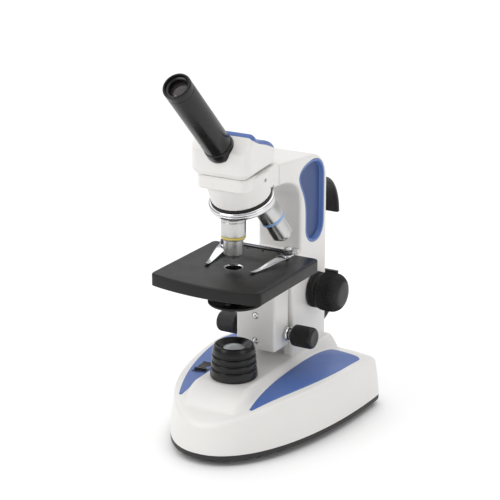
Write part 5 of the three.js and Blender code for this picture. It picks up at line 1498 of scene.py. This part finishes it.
# ---------------------------------------------------------------------------------------------
# Focus drive
# ---------------------------------------------------------------------------------------------
@dataclass
class FocusDrive(Assembly):
    """The coarse and fine knobs, the sliding block and the screws on its front."""

    title = "focus drive"
    arm_half_width: float = 24.5
    coarse_at: tuple[float, float] = (118.6, 125.0)
    coarse_radius: float = 20.0
    coarse_inner: float = 34.0
    coarse_end: float = 59.0
    coarse_ribs: int = 64
    collar_radius: float = 18.6
    block: tuple[float, float, float, float] = (42.0, 71.0, 80.0, 150.0)
    block_half_width: float = 22.0
    tongue_rear: float = 80.0
    tongue_half_width: float = 15.0
    fine_at: tuple[float, float] = (65.3, 93.7)
    fine_radius: float = 10.9
    fine_inner: float = 31.5
    fine_end: float = 54.4
    fine_ribs: int = 44
    flange_radius: float = 7.8
    screw_heights: tuple[float, float] = (88.9, 115.9)

    def coarse_collar(self, side: int, word: str) -> bpy.types.Object:
        """Turns the collar beside the arm, with a ring of fine graduations on its outer rim."""
        r, low, high = self.collar_radius, self.arm_half_width + 0.3, self.coarse_inner - 0.3
        corners = [
            (4.3, low), (r - 1.2, low), (r, low + 1.2), (r, low + 3.4), (r - 0.2, low + 3.6),
            (r - 0.2, high - 1.2), (r - 1.4, high), (4.3, high),
        ]
        profile = filleted(np.array(corners, float), 0.3, 4, True)
        middle = (profile[:, 1] > low + 3.5) & (profile[:, 1] < high - 0.8) & (profile[:, 0] > r - 1)
        axis = Axis((0, *self.coarse_at), (side, 0, 0))
        return revolve(f"drive_collar_{word}", profile, axis, 360, np.where(middle, 0.55, 0.0), 60, 0.6)

    def coarse_knob(self, side: int, word: str) -> bpy.types.Object:
        """Turns the large knob: shallow axial ribs on its side, fading out at both ends."""
        r, a, b = self.coarse_radius, self.coarse_inner, self.coarse_end
        corners = np.array([
            (0, a), (r - 2.2, a), (r - 0.6, a + 1.6), (r, a + 5), (r, b - 11), (r - 0.9, b - 7),
            (r - 3.4, b - 3.2),
            (r - 7.4, b - 0.6), (r - 12, b), (0, b),
        ], float)
        profile = evenly(filleted(corners, 3.0, 9), 110)
        height, radius = profile[:, 1], profile[:, 0]
        fade = np.clip((height - a - 1.5) / 1.5, 0, 1) * np.clip((radius - r + 8) / 3, 0, 1)
        axis = Axis((0, *self.coarse_at), (side, 0, 0))
        knob = revolve(
            f"coarse_wheel_{word}", profile, axis, self.coarse_ribs * 7, 0.75 * fade, self.coarse_ribs, 0.7
        )
        return carved(knob, [round_cutter(axis, 4.3, a - 1, b - 5.7, 32)])

    def fine_knob(self, side: int, word: str) -> bpy.types.Object:
        """Turns the small knob, nearly smooth, with faint ribs."""
        r, a, b = self.fine_radius, self.fine_inner, self.fine_end
        corners = np.array(
            [
                (0, a), (r - 0.9, a), (r, a + 1.4), (r, b - 3), (r - 1, b - 0.8), (r - 2.8, b), (0, b - 0.3)
            ], float
        )
        profile = evenly(filleted(corners, 0.9, 6), 70)
        height = profile[:, 1]
        fade = np.clip((height - a - 3) / 1.5, 0, 1) * np.clip((b - 4 - height) / 1.5, 0, 1)
        axis = Axis((0, *self.fine_at), (side, 0, 0))
        knob = revolve(
            f"fine_wheel_{word}", profile, axis, self.fine_ribs * 6, 0.28 * fade, self.fine_ribs, 0.8
        )
        return carved(knob, [round_cutter(axis, 3.3, a - 1, b - 5.7, 32)])

    def fine_stub(self, side: int, word: str) -> bpy.types.Object:
        """Turns the bright flange beside the block and the shaft that enters the knob."""
        low = self.block_half_width + 0.3
        f = self.flange_radius
        corners = [
            (0, low), (f - 0.9, low), (f, low + 0.9), (f, low + 3.1), (f - 0.9, low + 4), (4.6, low + 4),
            (4.6, low + 5.6), (3, low + 6), (3, self.fine_end - 6.3), (0, self.fine_end - 6.3),
        ]
        return turned(f"fine_flange_{word}", corners, Axis((0, *self.fine_at), (side, 0, 0)), 0.4, 96)

    def sliding_block(self) -> bpy.types.Object:
        """Stacks the rounded block, adds the tongue behind it and sinks the slot and the screw holes."""
        y0, y1, z0, z1 = self.block
        w, t = self.block_half_width, self.tongue_half_width
        outline = rounded_rectangle(-w, w, y0, y1, 2.8, 8)
        body = stepped("sliding_block", outline, quarter_round(z0, z1, 2.0), Plane.PLAN)
        carved(body, [box_cutter(-t, t, y1 - 1, self.tongue_rear, z0 + 4, z1 - 0.02)], "UNION")
        holes = [round_cutter(Axis((0, y0, z), (0, 1, 0)), 3.5, -5, 9, 40) for z in self.screw_heights]
        slot = box_cutter(-9.3, 9.3, 52.7, 67.8, 87.7, 160)
        rack = box_cutter(-6.3, 6.3, y1 - 2.5, 100, 99.2, 160)
        y, z = self.fine_at
        shaft = round_cutter(Axis((0, y, z), SIDEWAYS), 5.3, -40, 40, 40)
        return carved(body, [*holes, slot, rack, shaft])

    def block_screw(self, name: str, height: float) -> bpy.types.Object:
        """Turns a socket screw in the block's front and sinks its six-sided hole."""
        axis = Axis((0, self.block[0], height), (0, 1, 0))
        corners = [(0, -0.4), (2.5, -0.4), (3.1, 0.2), (3.1, 2.6), (1.6, 2.7), (1.6, 8.6), (0, 8.6)]
        screw = turned(name, corners, axis, 0.25, 56)
        return carved(screw, [round_cutter(axis, 1.5, -2, 1.5, 6)])

    def build(self) -> None:
        """Makes and dresses both drives and the block."""
        for side, word in ((-1, "left"), (1, "right")):
            self.own(self.coarse_collar(side, word), "stand", KNOB_BLACK, f"coarse_collar_{word}")
            self.own(self.coarse_knob(side, word), "coarse_drive", KNOB_BLACK, f"coarse_knob_{word}")
            self.own(self.fine_knob(side, word), "fine_drive", KNOB_BLACK, f"fine_knob_{word}")
            self.own(self.fine_stub(side, word), "fine_drive", SIDE_METAL)
        self.keep(SIDE_METAL, "coarse_shaft", "focus_rack")
        self.keep(CHROME, "fine_shaft")
        self.own(self.sliding_block(), "carriage", WHITE_PAINT, "focus_block")
        for word, height in zip(("lower", "upper"), self.screw_heights):
            self.own(
                self.block_screw(f"socket_screw_{word}", height), "carriage", CHROME, f"block_screw_{word}"
            )


# ---------------------------------------------------------------------------------------------
# Stage
# ---------------------------------------------------------------------------------------------
@dataclass
class Stage(Assembly):
    """The bowed black stage with its condenser, aperture disc, clips, posts and carrier."""

    title = "stage"
    top: float = 179.2
    half_width: float = 60.0
    front: float = -54.7
    bow: float = 7.6
    rear: float = 62.7
    corner: float = 5.0
    skirt: float = 12.7
    wall: float = 3.2
    plate: float = 3.0
    aperture: float = 8.6
    light_tube: float = 11.2
    tube_foot: float = 155.0
    disc_at: tuple[float, float] = (10.0, -13.0)
    disc_radius: float = 27.0
    disc_foot: float = 148.8
    disc_thick: float = 3.4
    disc_holes: tuple[float, ...] = (6.5, 5.0, 3.6, 2.4, 1.3)
    post_at: tuple[float, float] = (35.4, 43.4)
    post_top: float = 193.0
    cap_radius: float = 3.4
    cap_height: float = 3.2
    bar_height: float = 187.6
    clip_tip: tuple[float, float] = (24.6, -11.0)
    clip_height: float = 183.6
    clip_width: float = 11.0
    clip_end: float = 4.4
    clip_thick: float = 0.9
    stop_at: tuple[float, float] = (21.3, 83.0)

    def outline(self) -> Array:
        """Draws the stage in plan: a bowed front edge between soft corners, a straight back."""
        x, f, r = self.half_width, self.front, self.corner
        rear = rounded_rectangle(-x, x, f, self.rear, r, 8)
        rear = rear[rear[:, 1] > 0]
        return np.vstack([
            bezier((-x, f + r), (-x, f), (-x + r, f - 0.9), steps=8),
            bezier((-x + r, f - 0.9), (0, f - 2 * self.bow + 0.9), (x - r, f - 0.9), steps=40)[1:-1],
            bezier((x - r, f - 0.9), (x, f), (x, f + r), steps=8),
            rear,
        ])

    def table(self) -> bpy.types.Object:
        """Stacks the skirted table, then opens the aperture, the screw holes and the carrier's way in."""
        low, top, w = self.top - self.skirt, self.top, self.wall
        steps = np.array([
            [w, top - self.plate], [w, low + 0.5], [w - 0.5, low], [0.6, low], [0.0, low + 0.6],
            [0.0, top - 1.8],
            [0.12, top - 1.2], [0.4, top - 0.7], [0.85, top - 0.25], [1.5, top],
        ])
        table = stepped("stage_table", self.outline(), steps, Plane.PLAN)
        upright = Axis((0, 0, 0), UPRIGHT)
        holes = [round_cutter(Axis((k * 17.5, 57.0, 0), UPRIGHT), 1.5, 150, 190, 32) for k in (-1, 0, 1)]
        way = box_cutter(-22.3, 22.3, 22, 90, low - 5, top - self.plate)
        return carved(table, [round_cutter(upright, self.aperture + 0.9, 150, 190, 96), *holes, way])

    def light_well(self) -> bpy.types.Object:
        """Turns the tube under the aperture."""
        a, t = self.aperture, self.top
        corners = [
            (a - 1.6, self.tube_foot), (self.light_tube, self.tube_foot),
            (self.light_tube, t - self.plate - 0.02),
            (a + 0.85, t - self.plate - 0.02), (a + 0.85, t - 1.4), (a - 0.1, t - 1.9), (a - 0.1, 160.7),
            (a - 1.6, 160.7),
        ]
        return turned("light_well", corners, Axis((0, 0, 0), UPRIGHT), 0.2, 112)

    def aperture_ring(self) -> bpy.types.Object:
        """Turns the bright chamfer round the hole in the stage."""
        a, t = self.aperture, self.top
        corners = [
            (a - 0.3, t - 1.6), (a + 0.85, t - 1.6), (a + 0.85, t - 0.05), (a + 0.6, t - 0.02),
            (a - 0.3, t - 1.0)
        ]
        return turned("aperture_ring", corners, Axis((0, 0, 0), UPRIGHT), 0.12, 112)

    def condenser(self) -> bpy.types.Object:
        """Domes the condenser lens below the aperture."""
        share = np.linspace(1, 0, 16)
        dome = np.stack([8.1 * share, 163 + 2 * (1 - share**2)], axis=1)
        profile = np.vstack([[[0, 161], [8.1, 161]], dome])
        return revolve("condenser_glass", profile, Axis((0, 0, 0), UPRIGHT), 80)

    def carrier(self) -> bpy.types.Object:
        """Stacks the white carrier under the table and its stem down into the block."""
        outline = rounded_rectangle(-22, 22, 22, 71, 2.0, 6)
        body = stepped("stage_carrier", outline, quarter_round(163, 175.9, 1.2), Plane.PLAN)
        return carved(body, [box_cutter(-9, 9, 53, 67.5, 98.5, 165)], "UNION")

    def aperture_disc(self) -> bpy.types.Object:
        """Turns the notched disc and drills its ring of light holes, each at its own share of a turn."""
        x, y = self.disc_at
        low, high, r = self.disc_foot, self.disc_foot + self.disc_thick, self.disc_radius
        axis = Axis((x, y, 0), UPRIGHT)
        corners = np.array([
            (0, low - 1.5), (4.6, low - 1.5), (5, low - 1.1), (5, low), (r - 1, low), (r, low + 1),
            (r, high - 1),
            (r - 1, high), (2.2, high), (2.2, 162.8), (0, 162.8),
        ], float)
        profile = filleted(corners, 0.4, 5)
        rim = np.where((profile[:, 0] > r - 0.9), 0.5, 0.0)
        disc = revolve("aperture_wheel", profile, axis, 480, rim, 80, 0.8)
        reach, start = math.hypot(x, y), math.atan2(-y, -x)
        cutters = []
        for k, hole in enumerate(self.disc_holes):
            turn = start + k * FULL_TURN / len(self.disc_holes)
            spot = (x + reach * math.cos(turn), y + reach * math.sin(turn), 0)
            cutters.append(round_cutter(Axis(spot, UPRIGHT), hole, 140, 156, 48))
        return carved(disc, cutters)

    def post(self, side: int, word: str) -> bpy.types.Object:
        """Turns a clip post with its knurled cap."""
        c, t = self.cap_radius, self.post_top
        foot = t - self.cap_height
        corners = np.array([
            (0, self.top - 5), (2, self.top - 5), (2, foot), (c - 0.4, foot), (c, foot + 0.4), (c, t - 0.5),
            (c - 0.5, t), (0, t),
        ], float)
        profile = filleted(corners, 0.25, 4)
        knurl = np.where((profile[:, 0] > c - 0.2), 0.22, 0.0)
        axis = Axis((side * self.post_at[0], self.post_at[1], 0), UPRIGHT)
        return revolve(f"post_{word}", profile, axis, 144, knurl, 24, 0.8)

    def bar(self) -> bpy.types.Object:
        """Turns the tie bar and joins a collar round each post."""
        x, y = self.post_at
        rod = turned(
            "post_bar", [(0, -x), (1.9, -x), (1.9, x), (0, x)], Axis((0, y, self.bar_height), SIDEWAYS),
            0.2, 40
        )
        collars = []
        for side in (-1, 1):
            axis = Axis((side * x, y, self.bar_height), UPRIGHT)
            corners = np.array([(0, -1.8), (4.2, -1.8), (4.6, -1.4), (4.6, 1.4), (4.2, 1.8), (0, 1.8)], float)
            collars.append(revolve("cutter", filleted(corners, 0.3, 4), axis, 64))
        joined = carved(rod, collars, "UNION")
        return carved(
            joined, [round_cutter(Axis((side * x, y, 0), UPRIGHT), 2.2, 170, 200, 40) for side in (-1, 1)]
        )

    def clip(self, side: int, word: str) -> bpy.types.Object:
        """Carries a thin rounded strip along the clip: it narrows, dips and curls up at its tip."""
        post, tip = np.array(self.post_at), np.array(self.clip_tip)
        way = (tip - post) / np.linalg.norm(tip - post)
        length = float(np.linalg.norm(tip - post))
        t = np.linspace(0, 1, 60)
        run = -3 + (length + 3) * t
        width = self.clip_end + (self.clip_width - self.clip_end) * np.maximum(
            0, 1 - np.abs(t - 0.14) ** 1.3 * 1.6
        )
        ease = np.clip((t - 0.12) / 0.76, 0, 1)
        dip = (self.clip_height - self.top - 0.6) * (ease**2 * (3 - 2 * ease))
        curl = np.maximum(0, t - 0.9) ** 1.3 * 28
        middle = post + way * run[:, None]
        z = self.clip_height - dip + curl + self.clip_thick / 2
        turn = np.linspace(0, FULL_TURN, 20, endpoint=False)
        across = np.sign(np.cos(turn)) * np.abs(np.cos(turn)) ** 0.3
        lift = np.sign(np.sin(turn)) * np.abs(np.sin(turn)) ** 0.6
        normal = np.array([way[1], -way[0]])
        rings = np.empty((len(t), len(turn), 3))
        half = width[:, None] / 2 * across[None, :]
        rings[..., 0] = (middle[:, :1] + normal[0] * half) * side
        rings[..., 1] = middle[:, 1:] + normal[1] * half
        rings[..., 2] = z[:, None] + self.clip_thick / 2 * lift[None, :]
        strip = lofted(f"spring_clip_{word}", rings)
        axis = Axis((side * post[0], post[1], 0), UPRIGHT)
        low, high = self.clip_height, self.bar_height - 2.1
        eye = turned("cutter", [(0, low), (5.5, low), (5.5, high), (0, high)], axis, 0.3, 64)
        carved(strip, [eye], "UNION")
        return carved(strip, [round_cutter(axis, 2.2, 170, 200, 40)])

    def stop_screw(self) -> bpy.types.Object:
        """Turns the knurled stop screw on the arm's ledge."""
        corners = np.array([
            (0, 164), (1.6, 164), (1.6, 173.3), (3.8, 173.3), (4.3, 173.8), (4.3, 177.1), (3.7, 177.7),
            (0, 177.7),
        ], float)
        profile = filleted(corners, 0.3, 4)
        knurl = np.where((profile[:, 0] > 4.0), 0.25, 0.0)
        return revolve("stop_wheel", profile, Axis((*self.stop_at, 0), UPRIGHT), 168, knurl, 28, 0.8)

    def build(self) -> None:
        """Makes and dresses the stage and everything on it."""
        body = "specimen_stage"
        self.own(self.table(), body, STAGE_BLACK, "stage")
        self.own(self.light_well(), body, STAGE_BLACK)
        self.own(self.aperture_ring(), body, CHROME)
        self.own(self.condenser(), body, GLASS, "condenser_lens")
        self.own(self.carrier(), body, WHITE_PAINT, "stage_bracket")
        self.own(self.aperture_disc(), "diaphragm", STAGE_BLACK, "diaphragm_disc")
        self.own(self.bar(), body, GUNMETAL, "tie_bar")
        for side, word in ((-1, "left"), (1, "right")):
            self.own(self.post(side, word), body, CHROME, f"clip_post_{word}")
            self.own(self.clip(side, word), f"{word}_clip", CHROME, f"clip_{word}")
        self.own(self.stop_screw(), "stop", UPRIGHT_METAL, "stop_screw")


# ---------------------------------------------------------------------------------------------
# Studio
# ---------------------------------------------------------------------------------------------
@dataclass
class Studio:
    """The pale floor, the soft lights and the camera."""

    camera_at: tuple[float, float, float] = (0.8216, -1.4267, 0.7298)
    camera_turn: tuple[float, float, float] = (71.7, 0.0, 30.06)
    lens: float = 127.75

    def floor(self) -> None:
        """Lays a wide pale floor with a faint unevenness."""
        plan = np.array([[-8, -8], [8, -8], [8, 8], [-8, 8]], float) / MM
        floor = stepped("pale_floor", plan, np.array([[0.0, -20.0], [0.0, 0.0]]), Plane.PLAN)
        pale = Coating(
            "pale_floor_paint", "body_paint", (0.93, 0.93, 0.93), (0.92, 0.92, 0.92), (0.6, 0.7), 60.0, 0.02
        )
        floor.data.materials.append(pale.build())

    def light(
        self, name: str, place: Colour, size: float, power: float, tint: Colour = (1.0, 1.0, 1.0)
    ) -> None:
        """Hangs a square soft light that faces the middle of the object.

        Args:
            name: Name of the light.
            place: Where it hangs, in metres.
            size: Length of its side in metres.
            power: Its power in watts.
            tint: Its colour.
        """
        data = bpy.data.lights.new(name, "AREA")
        data.size = size
        data.energy = power
        data.color = tint
        lamp = bpy.data.objects.new(name, data)
        lamp.location = place
        lamp.rotation_euler = (Vector((0, 0, 0.2)) - Vector(place)).to_track_quat("-Z", "Y").to_euler()
        bpy.context.scene.collection.objects.link(lamp)

    def overhead(self) -> None:
        """Lights everything from above through a very wide soft source."""
        data = bpy.data.lights.new("overhead_light", "SUN")
        data.energy = 2.0
        data.angle = math.radians(100)
        lamp = bpy.data.objects.new("overhead_light", data)
        lamp.rotation_euler = (math.radians(-12), math.radians(-8), 0)
        bpy.context.scene.collection.objects.link(lamp)

    def build(self) -> None:
        """Sets the floor, the sky, the lights and the camera."""
        self.floor()
        sky = bpy.data.worlds.new("soft_sky")
        sky.use_nodes = True
        sky.node_tree.nodes["Background"].inputs["Color"].default_value = (1.0, 1.0, 1.0, 1.0)
        sky.node_tree.nodes["Background"].inputs["Strength"].default_value = 0.5
        bpy.context.scene.world = sky
        self.overhead()
        self.light("key_light", (-1.1, -1.7, 1.5), 1.2, 15.0)
        self.light("side_light", (1.9, -0.3, 0.9), 1.0, 4.0)
        data = bpy.data.cameras.new("camera")
        data.lens = self.lens
        data.sensor_width = 36.0
        camera = bpy.data.objects.new("camera", data)
        camera.location = self.camera_at
        camera.rotation_euler = tuple(math.radians(angle) for angle in self.camera_turn)
        bpy.context.scene.collection.objects.link(camera)
        bpy.context.scene.camera = camera
        bpy.context.scene.view_settings.view_transform = "Standard"


def main() -> None:
    """Builds every sub-assembly in order, then the studio."""
    logging.basicConfig(level=logging.INFO, format="%(message)s")
    for assembly in (Base(), Lamp(), Arm(), Nose(), Nosepiece(), Head(), FocusDrive(), Stage()):
        assembly.build()
        LOG.info("%s: %d pieces", assembly.title, len(assembly.made))
    Studio().build()


if __name__ == "__main__":
    main()
